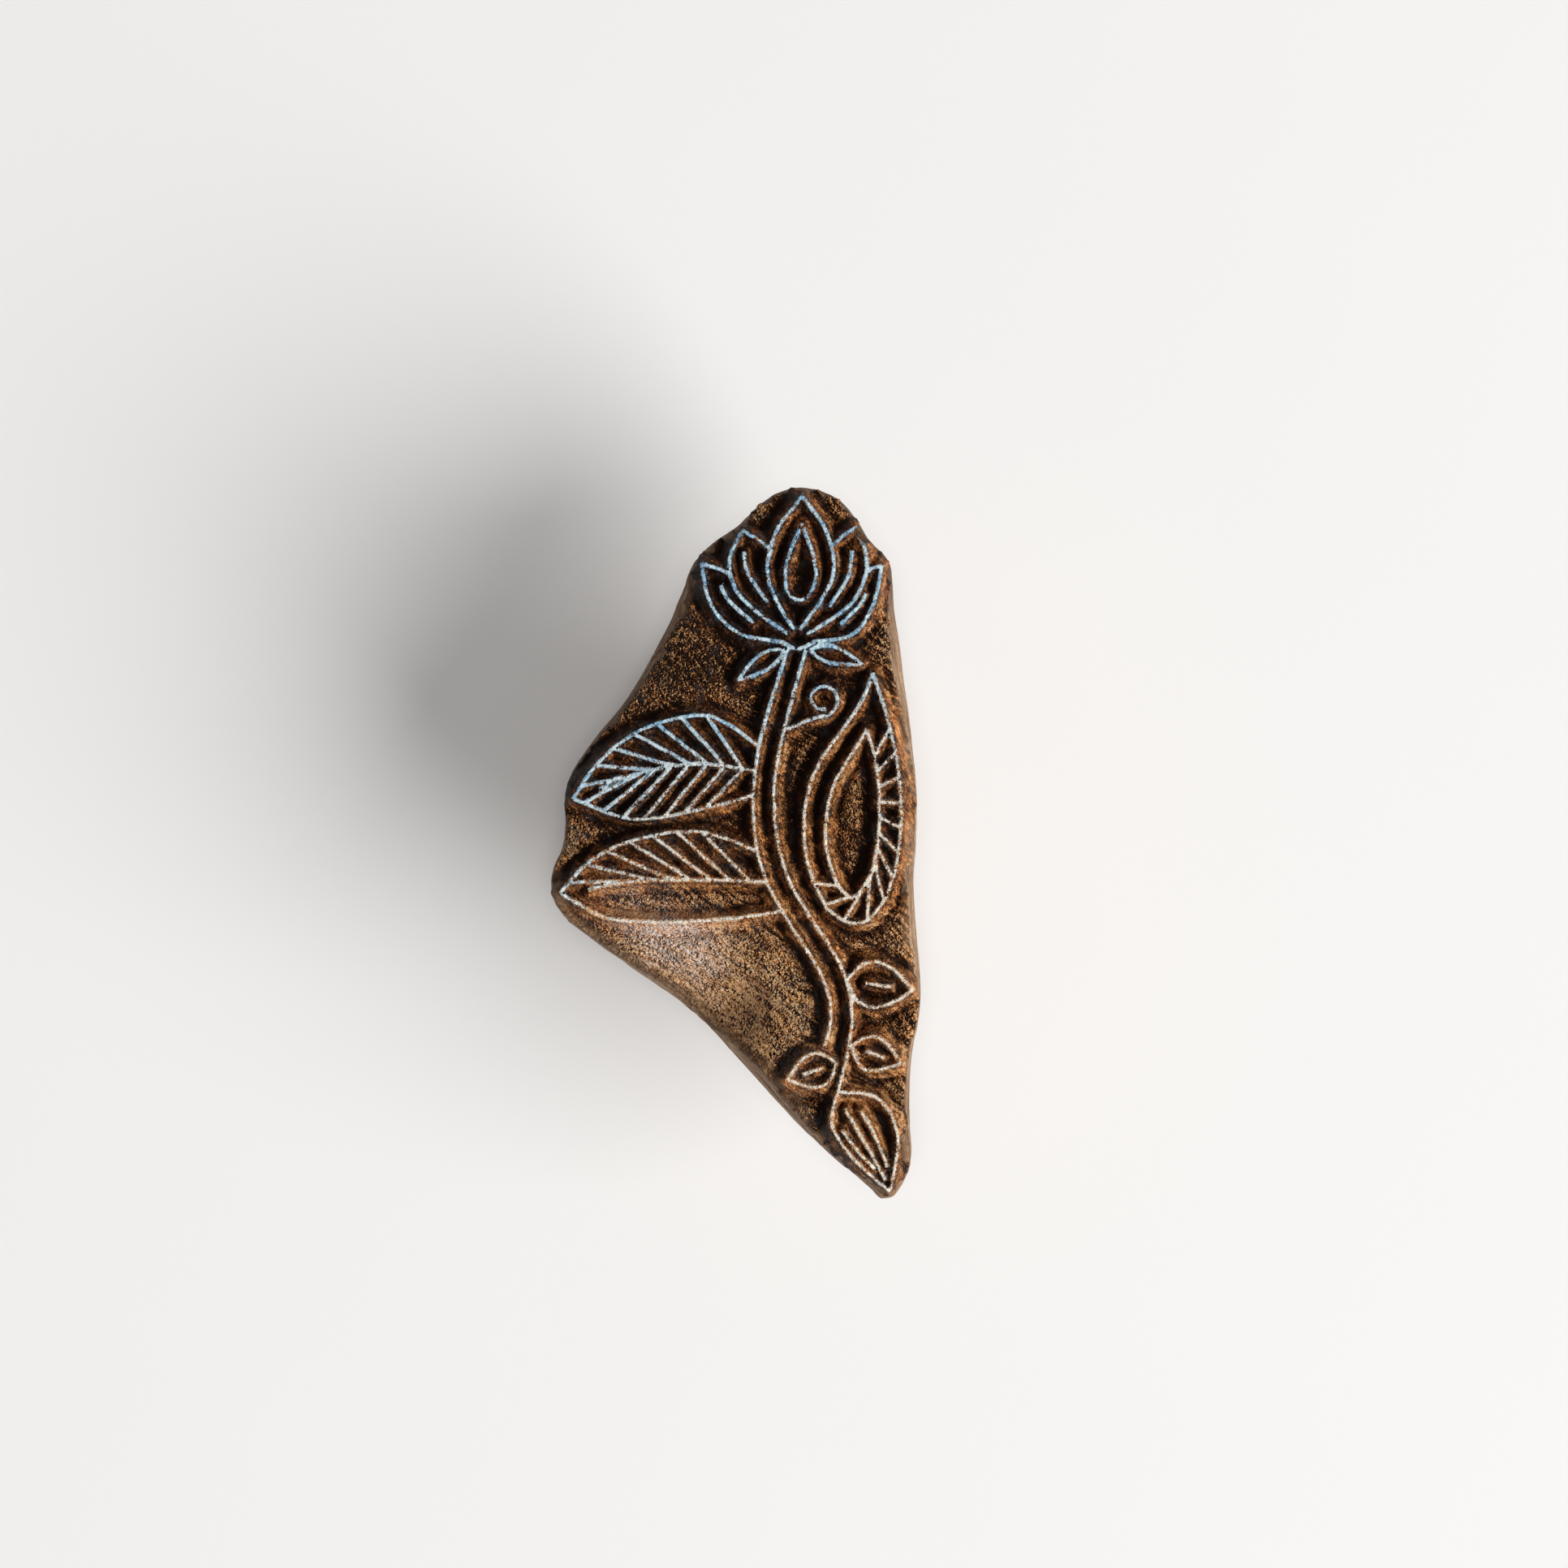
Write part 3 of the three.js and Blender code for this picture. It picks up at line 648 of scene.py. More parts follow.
def face_lattice(blank, pitch, edge_points, edge_tree, edge_out):
    """A lattice of small triangles over the face, fitted to its edge and to the ridges."""
    to_edge, to_ridge, least_area = 0.52 * pitch, 0.5 * pitch, 0.15 * pitch * pitch
    row = pitch * math.sqrt(3) / 2
    low, high = edge_points.min(axis=0) - 2 * pitch, edge_points.max(axis=0) + 2 * pitch
    columns = int((high[0] - low[0]) / pitch) + 2
    rows = int((high[1] - low[1]) / row) + 2
    gx, gy = np.meshgrid(np.arange(columns), np.arange(rows))
    x = low[0] + pitch * (gx + 0.5 * (gy % 2))
    y = low[1] + row * gy
    here = gx[:-1, :-1] + columns * gy[:-1, :-1]
    even = (gy[:-1, :-1] % 2) == 0
    a, b, c, d = here, here + 1, here + columns, here + columns + 1
    first = np.where(even[..., None], np.stack([a, b, c], -1), np.stack([a, b, d], -1))
    second = np.where(even[..., None], np.stack([b, d, c], -1), np.stack([a, d, c], -1))
    triangles = np.concatenate([first.reshape(-1, 3), second.reshape(-1, 3)])
    x, y = x.ravel(), y.ravel()
    distance, which = nearest(edge_tree, x, y)
    gap = np.column_stack([x, y]) - edge_points[which]
    side = np.where((gap * edge_out[which]).sum(axis=1) > 0, distance, -distance)
    snapped = np.abs(side) < to_edge
    x = np.where(snapped, edge_points[which, 0], x)
    y = np.where(snapped, edge_points[which, 1], y)
    side = np.where(snapped, 0.0, side)
    triangles = triangles[(side[triangles] <= 0).all(axis=1)]
    triangles = triangles[~snapped[triangles].all(axis=1) | (
        flat_area(x, y, triangles) > least_area)]
    # The first loose edge is the face's own. The others are stray triangles or small gaps.
    for loop in loops_of(loose_edges(triangles))[1:]:
        if flat_area(x, y, np.array([loop[:3]]))[0] > 0:
            triangles = triangles[~np.isin(triangles, loop).all(axis=1)]
        else:
            fill = [(loop[0], loop[k + 1], loop[k]) for k in range(1, len(loop) - 1)]
            triangles = np.concatenate([triangles, fill])
    used, triangles = np.unique(triangles, return_inverse=True)
    triangles = triangles.reshape(-1, 3)
    x, y, side, snapped = x[used], y[used], side[used], snapped[used]
    ridge, toward = blank.ridge_distance(x, y)
    moved = (np.abs(ridge) < to_ridge) & ~snapped
    x = np.where(moved, x + toward[:, 0], x)
    y = np.where(moved, y + toward[:, 1], y)
    return x, y, side, triangles


def flat_area(x, y, triangles):
    """The triangles' areas on the plane, above 0 where they run anticlockwise."""
    a, b, c = triangles.T
    return 0.5 * ((x[b] - x[a]) * (y[c] - y[a]) - (x[c] - x[a]) * (y[b] - y[a]))


class Surface:
    """Points in millimetres and triangles of a closed surface, added part by part."""

    def __init__(self):
        self.parts, self.faces, self.count = [], [], 0

    def add(self, points):
        numbers = self.count + np.arange(len(points))
        self.parts.append(np.asarray(points, dtype=float))
        self.count += len(points)
        return numbers

    def points(self):
        return np.concatenate(self.parts)

    def triangles(self):
        return np.concatenate(self.faces)

    def strip(self, upper, lower, outside=True):
        """The band between two rings of points. Outside is for rings run anticlockwise."""
        up, low = after(upper), after(lower)
        band = np.concatenate([np.column_stack([upper, lower, low]),
                               np.column_stack([upper, low, up])])
        self.faces.append(band if outside else band[:, ::-1])

    def fan(self, rim, apex, up):
        """Triangles from an anticlockwise ring to one point in its middle."""
        tip = np.full(len(rim), self.add([apex])[0])
        fan = np.column_stack([rim, after(rim), tip])
        self.faces.append(fan if up else fan[:, ::-1])

    def plate(self, rim, holes, up, drawn=None):
        """A flat face inside a ring of points, with rings of points as its holes. Where the ring
        could touch itself, the triangles are laid out on a drawn ring of as many points."""
        rings = [rim] + holes
        numbers = np.concatenate(rings)
        points = self.points()[numbers]
        if drawn is not None:
            points[:len(rim), :2] = drawn
        count, start = len(points), 0
        edges, inside = [], []
        for ring in rings:
            here = start + np.arange(len(ring))
            own = np.column_stack([here, after(here)])
            x, y = points[here, 0], points[here, 1]
            anticlockwise = (x * after(y) - y * after(x)).sum() > 0
            inside.append(own if anticlockwise == (start == 0) else own[:, ::-1])
            edges += own.tolist()
            start += len(ring)
        cut = delaunay_2d_cdt([Vector(p[:2]) for p in points], edges, [], 0, 1e-7)
        source = np.array([first[0] if first else 0 for first in cut[3]])
        faces = source[np.array([face for face in cut[2] if len(face) == 3])]
        # A triangle at a rim is inside when it runs the same way round as the rim. The others
        # are told by their middles.
        inside = np.concatenate(inside) @ [count, 1]
        ends = np.roll(faces, -1, axis=1)
        along = np.isin(faces * count + ends, inside).any(axis=1)
        against = np.isin(ends * count + faces, inside).any(axis=1)
        middle = points[faces, :2].mean(axis=1)
        open_part = filled_at(middle, [points[:len(rim), :2]])
        for ring in holes:
            open_part &= ~filled_at(middle, [self.points()[ring, :2]])
        faces = faces[along | (open_part & ~against)]
        if not up:
            faces = faces[:, ::-1]
        self.faces.append(numbers[faces])

    def tube(self, rows, outside=True):
        """Rings of points from the lowest up, with bands between them; returns both end rings."""
        rings = [self.add(row) for row in rows]
        for lower, upper in zip(rings, rings[1:]):
            self.strip(upper, lower, outside)
        return rings[0], rings[-1]

    def bore(self, middle, profile):
        """The wall of a round hole from its lowest ring to its highest, closed by a tip where
        the profile ends on the axis; returns both end rings."""
        _, circle = unit_circle(HOLE_SIDES)
        open_rings = [(radius, z) for radius, z in profile if radius >= AXIS]
        ends = self.tube([raised(middle + radius * circle, z) for radius, z in open_rings], False)
        if len(open_rings) < len(profile):
            self.fan(ends[1], [*middle, profile[len(open_rings)][1]], False)
        return ends


def face_rim(blank, carving):
    """The ring where the face meets the sides, and how far chips have broken it back."""
    at = np.arange(len(blank.ring))
    level = blank.rim_top + BELOW_RIM
    # The rim's height follows from its place, and its place from its height.
    for _ in range(3):
        edge = blank.side(at, level)
        level, _ = carved_height(blank, carving, edge[:, 0], edge[:, 1], np.zeros(len(edge)))
    ring = blank.side(at, level)
    broken = broken_back(ring[:, 0], ring[:, 1], carving.broken_edge * MM)
    broken = np.minimum(broken, 0.3 * blank.edge_radius())
    return ring - blank.out * broken[:, None], broken


def carved_block(blank, carving):
    """The whole carved block, and for each of its points what the wood and paint need."""
    ring, broken = face_rim(blank, carving)
    edge, ring_place = sampled(ring, after(ring), 0.1)
    edge_tree = tree_of(edge)
    x, y, inward, triangles = face_lattice(
        blank, carving.pitch * MM, edge, edge_tree, outward(edge, 2))
    z, ridge = carved_height(blank, carving, x, y, inward)
    body = Surface()
    body.add(np.column_stack([x, y, z]))
    body.faces.append(triangles)
    loop = np.array(loops_of(loose_edges(triangles))[0])
    _, beside = nearest(edge_tree, x[loop], y[loop])
    beside = in_order(ring_place[beside], len(ring))
    add_sides(body, blank, carving, loop, z[loop], beside, between(broken, beside))
    return body, face_shades(body, blank, x, y, z, ridge, inward, loop)


def add_sides(body, blank, carving, loop, top, beside, broken):
    """Rows down the sides from the edge of the face, the rounded arris and the bored back."""
    lengths = np.linalg.norm(after(blank.ring) - blank.ring, axis=1)
    run = np.interp(beside, np.arange(len(lengths) + 1), np.concatenate([[0], np.cumsum(lengths)]))
    out = between(blank.out, beside)
    # The lowest row lies this far above the arris, and the rows lie closer towards the face.
    rise = 0.3
    upper = loop
    for share in 1 - (np.arange(1, SIDE_ROWS) / SIDE_ROWS) ** 1.2:
        height = blank.arris + rise + share * (top - blank.arris - rise)
        fade = np.clip((top - height) / 1.5, 0, 1)
        rough = 0.10 * layered(run, height, 2.4, 91, 3) - 0.06
        rough -= 0.22 * scallops(run, height, 4.5, 9.0, 74, 97)
        rough = rough * fade - broken * np.exp((height - top) / 1.1)
        place = blank.side(beside, height) + out * rough[:, None]
        lower = body.add(raised(place, height))
        body.strip(upper, lower)
        upper = lower
    arris = carving.back_arris * MM
    foot = blank.side(beside, np.full(len(loop), blank.arris))
    for drop, inset in ((1.0, 0.0), (0.62, 0.12), (0.22, 0.45), (0.0, 1.0)):
        lower = body.add(raised(foot - out * arris * inset, blank.back + arris * drop))
        body.strip(upper, lower)
        upper = lower
    holes = [body.bore(middle, profile)[0] for middle, profile in blank.nail_holes]
    body.plate(upper, holes, False, foot)


def face_shades(body, blank, x, y, z, ridge, inward, loop):
    """For each point of the block, what its materials read."""
    ground = blank.ground_depth(x, y)
    relief, shade, painted_light, hollow_shade = relief_and_painted_light(x, y, z, blank.back)
    tone, dust_and_sheen, blue, reach = tints(x, y)
    bare = bare_and_lit_edge(x, y, inward)
    # The rim of the face at the lower left takes the paler filed look of the sides: partly rubbed
    # wood, partly painted light on a rim that is lit from above.
    rubbed_and_lit = smooth_step(-2.3, -0.9, inward + 0.6 * noise(x, y, 2.1, 115)) * pale_and_lit_side(x, y)
    rubbed_and_lit *= smooth_step(2.0, 2.8, ground) * smooth_step(13, 7, x)
    # The shoulders fall away from the light without lying in the lee of anything, so the painted
    # shadow and the painted shade of the hollows are left off them.
    level = 1 - smooth_step(2.3, 3.2, ground) * smooth_step(1.4, 3.0, ridge)
    on_face = {
        "ridge": ridge, "crack": np.where(ridge > 0.15, across_cracks(x, y), FAR),
        "side": np.maximum(0.75 * rubbed_and_lit, 0.55 * bare), "relief": relief,
        "shade": shade * level, "painted_light": painted_light, "hollow_shade": hollow_shade * level,
        "rim": smooth_step(-2.2, -0.2, inward), "tone": tone,
        "open": smooth_step(2.6, 4.4, ground) * smooth_step(1.0, 2.6, ridge), "dust_and_sheen": dust_and_sheen,
        "blue": blue, "reach": reach, "bare": bare}
    values = {label: np.full(body.count, value) for label, value in ELSEWHERE.items()}
    values["bare"] = pale_and_lit_side(*body.points()[:, :2].T)
    for label, value in on_face.items():
        values[label][:len(x)] = value
    values["side"][loop] = 0.75
    return values


def broken_back(x, y, deepest):
    """How far the edge of the face is broken back, most at the head and at the foot."""
    ends = np.clip(smooth_step(18, 32, y) + smooth_step(-28, -38, y), 0, 1)
    fine = (0.35 + 0.65 * ends) * (0.5 + 0.9 * layered(x, y, 0.7, 93, 2))
    chips = smooth_step(0.10, 0.30, layered(x, y, 1.7, 95, 3))
    return deepest * np.clip(0.5 * fine + (0.25 + 0.6 * ends) * chips, 0, 1)


def relief_and_painted_light(x, y, z, floor):
    """Each point's height above the mean round it, and painted light and shade: its depth in the
    lee of a ridge away from the main lamp (painted shadow), how far it faces that lamp (painted
    light), and how closely ridges stand round it (painted shade in the hollows)."""
    cell, near_rounds, far_rounds, lee_cells = 0.2, 22, 130, 20
    low = np.array([x.min(), y.min()]) - 2
    u, v = (x - low[0]) / cell, (y - low[1]) / cell
    i, j = np.round(u).astype(int), np.round(v).astype(int)
    shape = (j.max() + 12, i.max() + 12)
    total, weight = np.zeros(shape), np.zeros(shape)
    np.add.at(total, (j, i), z)
    np.add.at(weight, (j, i), 1)
    near, share = blurred_once(total), blurred_once(weight)
    height = np.where(share > 0.2, near / np.maximum(share, 1e-9), floor)
    for _ in range(near_rounds):
        total, weight = blurred_once(total), blurred_once(weight)
    relief = z - bilinear(total / np.maximum(weight, 1e-9), u, v)
    # Painted shade in the hollows: how far the mean height further round lies above the point.
    for _ in range(far_rounds):
        total, weight = blurred_once(total), blurred_once(weight)
    hollow_shade = bilinear(total / np.maximum(weight, 1e-9), u, v) - z
    du, dv = math.cos(PAINTED_LIGHT_SIDE), math.sin(PAINTED_LIGHT_SIDE)
    # Painted shadow: how far a ridge between the point and the main lamp stands above the lee.
    above = np.full(len(x), -1.0)
    for k in range(2, lee_cells):
        above = np.maximum(above, bilinear(height, u + k * du, v + k * dv)
                           - z - k * cell * PAINTED_SHADOW_SLOPE)
    # Painted light: how far the surface falls towards the main lamp, that is how far it faces it.
    fall = bilinear(height, u - du, v - dv) - bilinear(height, u + du, v + dv)
    return (relief, smooth_step(-0.10, 0.55, above), smooth_step(0.10, 0.75, fall),
            smooth_step(0.25, 1.1, hollow_shade))


def patch(x, y, px, py, width, length, degrees):
    """A soft oval patch, 1 in its middle and 0 outside."""
    along, across = turned(x - px, y - py, degrees)
    return np.exp(-(along / length) ** 2 - (across / width) ** 2)


def tints(x, y):
    """Large-scale colour: lighter or darker wood, dry dust with a painted sheen, blueness and
    reach of the paint.
    """
    tone = 0.05 * layered(x, y, 6.0, 101, 2) + 0.11 * layered(x, y, 2.2, 103, 3)
    for amount, px, py, width, length, degrees in TONE_PATCHES:
        tone += amount * patch(x, y, px, py, width, length, degrees)
    dust_and_sheen = sum(amount * patch(x, y, px, py, width, length, degrees)
               for amount, px, py, width, length, degrees in DUST_AND_SHEEN_PATCHES)
    dust_and_sheen = dust_and_sheen * (0.75 + 0.5 * noise(x, y, 2.2, 105))
    along = -0.45 * x + 0.9 * y + 6 * layered(x, y, 7.0, 107, 2)
    blue = smooth_step(-6, 22, along)
    reach = 0.10 + 0.19 * layered(x, y, 4.5, 109, 2) + 0.06 * smooth_step(5, 25, along)
    reach += 0.05 * smooth_step(-16, -30, y)
    return tone, np.clip(dust_and_sheen, 0, 1), blue, reach


def bare_and_lit_edge(x, y, inward):
    """The right-hand edge of the face, on the main lamp's side: bare and smooth where hands have
    rubbed it, and paler, partly as rubbed wood and partly as painted light.
    """
    along = smooth_step(-22, -13, y) * smooth_step(25, 17, y) * smooth_step(15, 19, x)
    return along * smooth_step(-1.5, -0.6, inward + 0.35 * noise(x, y, 2.4, 111))


def pale_and_lit_side(x, y):
    """Where the sides are paler, partly rubbed wood and partly painted light: at the lower left,
    which the main lamp leaves in shade, and at the right, which faces it.
    """
    low_left = smooth_step(4, -6, y + 2 * noise(x, y, 3.0, 113))
    right = smooth_step(12, 18, x) * smooth_step(36, 24, y)
    return np.clip(low_left + right, 0, 1)


def across_cracks(x, y):
    """Distance across the drying crack that a place is beside, or FAR."""
    across = np.full(len(x), FAR)
    for px, py, length, degrees in CRACKS:
        along, aside = turned(x - px, y - py, degrees)
        aside = aside + 0.22 * noise(along, 0 * along + px, 1.1, 141)
        taper = np.sqrt(np.clip(1 - (2 * along / length) ** 2, 0.05, 1))
        beside = (np.abs(along) < length / 2) & (np.abs(aside) < 0.6)
        across = np.where(beside, aside / taper, across)
    return across


def filled_at(places, loops):
    """Which places lie inside closed loops."""
    inside = np.zeros(len(places), dtype=bool)
    for loop in loops:
        for (ax, ay), (bx, by) in zip(loop, after(loop)):
            if ay != by:
                crossed = (ay > places[:, 1]) != (by > places[:, 1])
                inside ^= crossed & (
                    places[:, 0] < (bx - ax) * (places[:, 1] - ay) / (by - ay) + ax)
    return inside


def hole_profile(points, middle):
    """The rings of a hole's points round its axis, as radii and heights from the lowest up."""
    radius = np.linalg.norm(points[:, :2] - middle, axis=1)
    near = radius < HOLE_REACH
    rings = {(round(r, 1), round(z, 2)): r for r, z in zip(radius[near], points[near, 2])}
    return sorted(((r, z) for (_, z), r in rings.items()), key=lambda ring: ring[1])


def filed_grip():
    """The grip, turned from the solid's own rings, with file strokes and worn corners."""
    points, _ = node_arrays("handle_grip")
    low, high = points.min(axis=0), points.max(axis=0)
    middle = (low[:2] + high[:2]) / 2
    nails = [nail_axis(node) for node in NAILS]
    outer = np.all([np.linalg.norm(points[:, :2] - nail, axis=1) > HOLE_REACH for nail in nails],
                   axis=0)
    levels = np.unique(np.round(points[outer, 2], 2))
    turn, circle = unit_circle(GRIP_COLUMNS)
    rings = []
    for level in levels:
        ring = points[outer & (np.abs(points[:, 2] - level) < 0.02), :2] - middle
        ring = ring[np.argsort(np.arctan2(ring[:, 1], ring[:, 0]))]
        ring, _ = sampled(ring, after(ring), 0.2)
        angle = np.arctan2(ring[:, 1], ring[:, 0])
        rings.append(np.interp(turn, angle, np.linalg.norm(ring, axis=1), period=2 * math.pi))
    rings = np.array(rings)
    heights = np.concatenate([np.linspace(a, b, 5, endpoint=False)
                              for a, b in zip(levels[:-1], levels[1:])] + [levels[-1:]])
    rows = []
    for height in heights:
        reach = smooth_between(height, levels, rings)
        around = reach * turn
        stroke = 0.12 * np.abs(noise(around + 0.6 * height, height * 0 + around, 3.0, 121))
        stroke += 0.05 * np.abs(noise(around, height + 0 * around, 1.1, 123))
        bare = smooth_step(0, 1.2, height - low[2]) * smooth_step(0, 1.2, high[2] - height)
        reach = reach - 0.02 - stroke * bare
        rows.append(raised(middle + reach[:, None] * circle, height))
    body = Surface()
    foot, top = body.tube(rows)
    bores = [body.bore(nail, hole_profile(points, nail)) for nail in nails]
    body.plate(foot, [bore[0] for bore in bores], False)
    body.plate(top, [bore[1] for bore in bores], True)
    return body


def smooth_between(height, levels, rings):
    """A smooth curve, without overshoot, through rows of values at rising levels."""
    k = int(np.clip(np.searchsorted(levels, height) - 1, 0, len(levels) - 2))
    rise = np.diff(rings, axis=0) / np.diff(levels)[:, None]
    rise = np.concatenate([rise[:1], rise, rise[-1:]])
    below, above = rise[:-1], rise[1:]
    slopes = np.where(below * above > 0, 2 * below * above / (below + above + 1e-12), 0)
    span = levels[k + 1] - levels[k]
    t = (height - levels[k]) / span
    return ((1 + 2 * t) * (1 - t) ** 2 * rings[k] + t * (1 - t) ** 2 * span * slopes[k]
            + t * t * (3 - 2 * t) * rings[k + 1] + t * t * (t - 1) * span * slopes[k + 1])


def forged_nail(node, seed):
    """A wire nail on the solid's own profile, with a hammered head."""
    points, _ = node_arrays(node)
    middle = (points[:, :2].min(axis=0) + points[:, :2].max(axis=0)) / 2
    radius = np.linalg.norm(points[:, :2] - middle, axis=1)
    profile = sorted({(round(z, 3), round(r, 2)) for r, z in zip(radius, points[:, 2])
                      if r > AXIS})
    head = max(r for _, r in profile)
    profile = outward_first(profile)
    turn, around = unit_circle(NAIL_SIDES)
    body = Surface()
    lower = None
    lowest, first = profile[0]
    rows = [(lowest, share * first) for share in (0.2, 0.4, 0.6, 0.8)] + profile[:1]
    row_height = 1.2
    for (z, r), (after_z, after_r) in zip(profile, profile[1:]):
        steps = 1 + int((after_z - z) / row_height)
        rows += [(z + (after_z - z) * k / steps, r + (after_r - r) * k / steps)
                 for k in range(1, steps + 1)]
    for height, reach in rows:
        place = reach * around
        dent = 0.02 + 0.02 * noise(turn * 3, turn * 0 + seed, 1.0, 131)
        if reach <= 0.9 * head:
            dent = 0.006 + 0.006 * noise(turn * 2, turn * 0 + height, 2.0, 133)
        hammered = 0.09 * np.abs(noise(place[:, 0] + seed, place[:, 1], 0.9, 135))
        hammered = hammered * (height == lowest) * (reach < 0.95 * first)
        upper = body.add(raised(middle + place * (1 - dent)[:, None], height + hammered))
        if lower is None:
            body.fan(upper, [*middle, height + 0.04], False)
        else:
            body.strip(upper, lower)
        lower = upper
    body.fan(lower, [*middle, points[:, 2].max()], True)
    return body


def outward_first(profile):
    """Rings from the lowest up. Where two lie at one height, the one next to the last is first."""
    ordered = []
    for height in sorted({z for z, _ in profile}):
        here = [r for z, r in profile if z == height]
        last = ordered[-1][1] if ordered else 0.0
        ordered += [(height, r) for r in sorted(here, key=lambda r: abs(r - last))]
    return ordered


def linked(name, data):
    """A new object in the scene."""
    obj = bpy.data.objects.new(name, data)
    bpy.context.scene.collection.objects.link(obj)
    return obj


def mesh_object(name, points, faces, material, attributes=None):
    """A smooth mesh object at the origin from points in millimetres, sharp at its creases."""
    mesh = bpy.data.meshes.new(name)
    mesh.from_pydata((points / MM).tolist(), [], faces.tolist())
    for label, values in (attributes or {}).items():
        layer = mesh.attributes.new(label, "FLOAT", "POINT")
        layer.data.foreach_set("value", np.asarray(values, dtype=np.float32))
    mesh.shade_smooth()
    mesh.set_sharp_from_angle(angle=CREASE)
    mesh.materials.append(material)
    mesh.validate()
    return linked(name, mesh)


# Nodes

class NodeTree:
    """A node tree, with a short way to add nodes with their values and links to it."""

    def __init__(self, tree):
        self.tree = tree

    def add(self, kind, inputs=None, **choices):
        node = self.tree.nodes.new(kind)
        for key, value in choices.items():
            setattr(node, key, value)
        for key, value in (inputs or {}).items():
            self.put(node.inputs[key], value)
        return node

    def put(self, socket, value):
        if isinstance(value, bpy.types.NodeSocket):
            self.tree.links.new(value, socket)
        elif socket.type == "RGBA" and len(value) == 3:
            socket.default_value = (*value, 1.0)
        else:
            socket.default_value = value


class Shader(NodeTree):
    """A material's node tree, with short ways to add the nodes that the looks are made of."""

    def __init__(self, name):
        self.material = bpy.data.materials.new(name)
        self.material.use_nodes = True
        super().__init__(self.material.node_tree)
        self.surface = self.tree.nodes["Principled BSDF"]

    def maths(self, operation, a, b=0.0, third=0.0, clamp=False):
        node = self.add("ShaderNodeMath", {0: a, 1: b, 2: third}, operation=operation,
                        use_clamp=clamp)
        return node.outputs[0]

    def times(self, a, b, clamp=False):
        return self.maths("MULTIPLY", a, b, clamp=clamp)

    def larger(self, a, b):
        return self.maths("MAXIMUM", a, b)

    def size_of(self, value):
        return self.maths("ABSOLUTE", value)

    def height(self, place):
        return self.add("ShaderNodeSeparateXYZ", {0: place}).outputs["Z"]

    def ramp(self, value, low, high, out_low=0.0, out_high=1.0):
        node = self.add("ShaderNodeMapRange", {0: value, 1: low, 2: high, 3: out_low, 4: out_high},
                        interpolation_type="SMOOTHSTEP")
        return node.outputs[0]

    def mix(self, share, a, b, blend="MIX"):
        node = self.add("ShaderNodeMix", {0: share, 6: a, 7: b}, data_type="RGBA", blend_type=blend)
        return node.outputs[2]

    def shifted(self, place, offset):
        return self.add("ShaderNodeVectorMath", {0: place, 1: offset}, operation="ADD").outputs[0]

    def carved_noise(self, place, offset, scale, detail=2.0, distortion=0.0):
        """Noise, and how it rises towards an offset: painted light and shade on its bumps, as if
        they were cut and lit from there.
        """
        here = self.noise(place, scale, detail, 0.6, distortion)
        there = self.noise(self.shifted(place, offset), scale, detail, 0.6, distortion)
        return here, self.maths("SUBTRACT", here, there)

    def noise(self, place, scale, detail=2.0, roughness=0.55, distortion=0.0):
        node = self.add("ShaderNodeTexNoise", {
            "Vector": place, "Scale": scale, "Detail": detail, "Roughness": roughness,
            "Distortion": distortion})
        return node.outputs[0]

    def places(self, turn=(0, 0, 0), scale=(1, 1, 1)):
        """Object coordinates in millimetres, turned and stretched."""
        coordinates = self.add("ShaderNodeTexCoord").outputs["Object"]
        turned_place = self.add("ShaderNodeMapping", {
            "Vector": coordinates, "Rotation": turn, "Scale": (MM, MM, MM)})
        return self.add("ShaderNodeMapping", {
            "Vector": turned_place.outputs[0], "Scale": scale}).outputs[0]

    def centred(self, value):
        return self.maths("SUBTRACT", value, 0.5)

    def total(self, start, *terms):
        """A start value plus each value times its weight."""
        for value, weight in terms:
            start = self.maths("MULTIPLY_ADD", value, weight, start)
        return start

    def steps(self, value, *stops):
        """A colour that runs through several stops."""
        node = self.add("ShaderNodeValToRGB", {0: value})
        ramp = node.color_ramp
        while len(ramp.elements) < len(stops):
            ramp.elements.new(0.5)
        for element, (position, colour) in zip(ramp.elements, stops):
            element.position = position
            element.color = (*colour, 1.0)
        return node.outputs[0]

    def attribute(self, name):
        return self.add("ShaderNodeAttribute", attribute_name=name).outputs["Fac"]

    def bump(self, height, distance, strength=1.0, under=None):
        inputs = {"Height": height, "Distance": distance, "Strength": strength}
        if under is not None:
            inputs["Normal"] = under
        return self.add("ShaderNodeBump", inputs).outputs[0]

    def finish(self, colour, roughness, normal, specular=0.5):
        self.put(self.surface.inputs["Base Color"], colour)
        self.put(self.surface.inputs["Roughness"], roughness)
        self.put(self.surface.inputs["Normal"], normal)
        self.surface.inputs["Specular IOR Level"].default_value = specular
        return self.material


GRAIN_TURN = (0.0, 0.0, math.radians(-GRAIN_ANGLE))


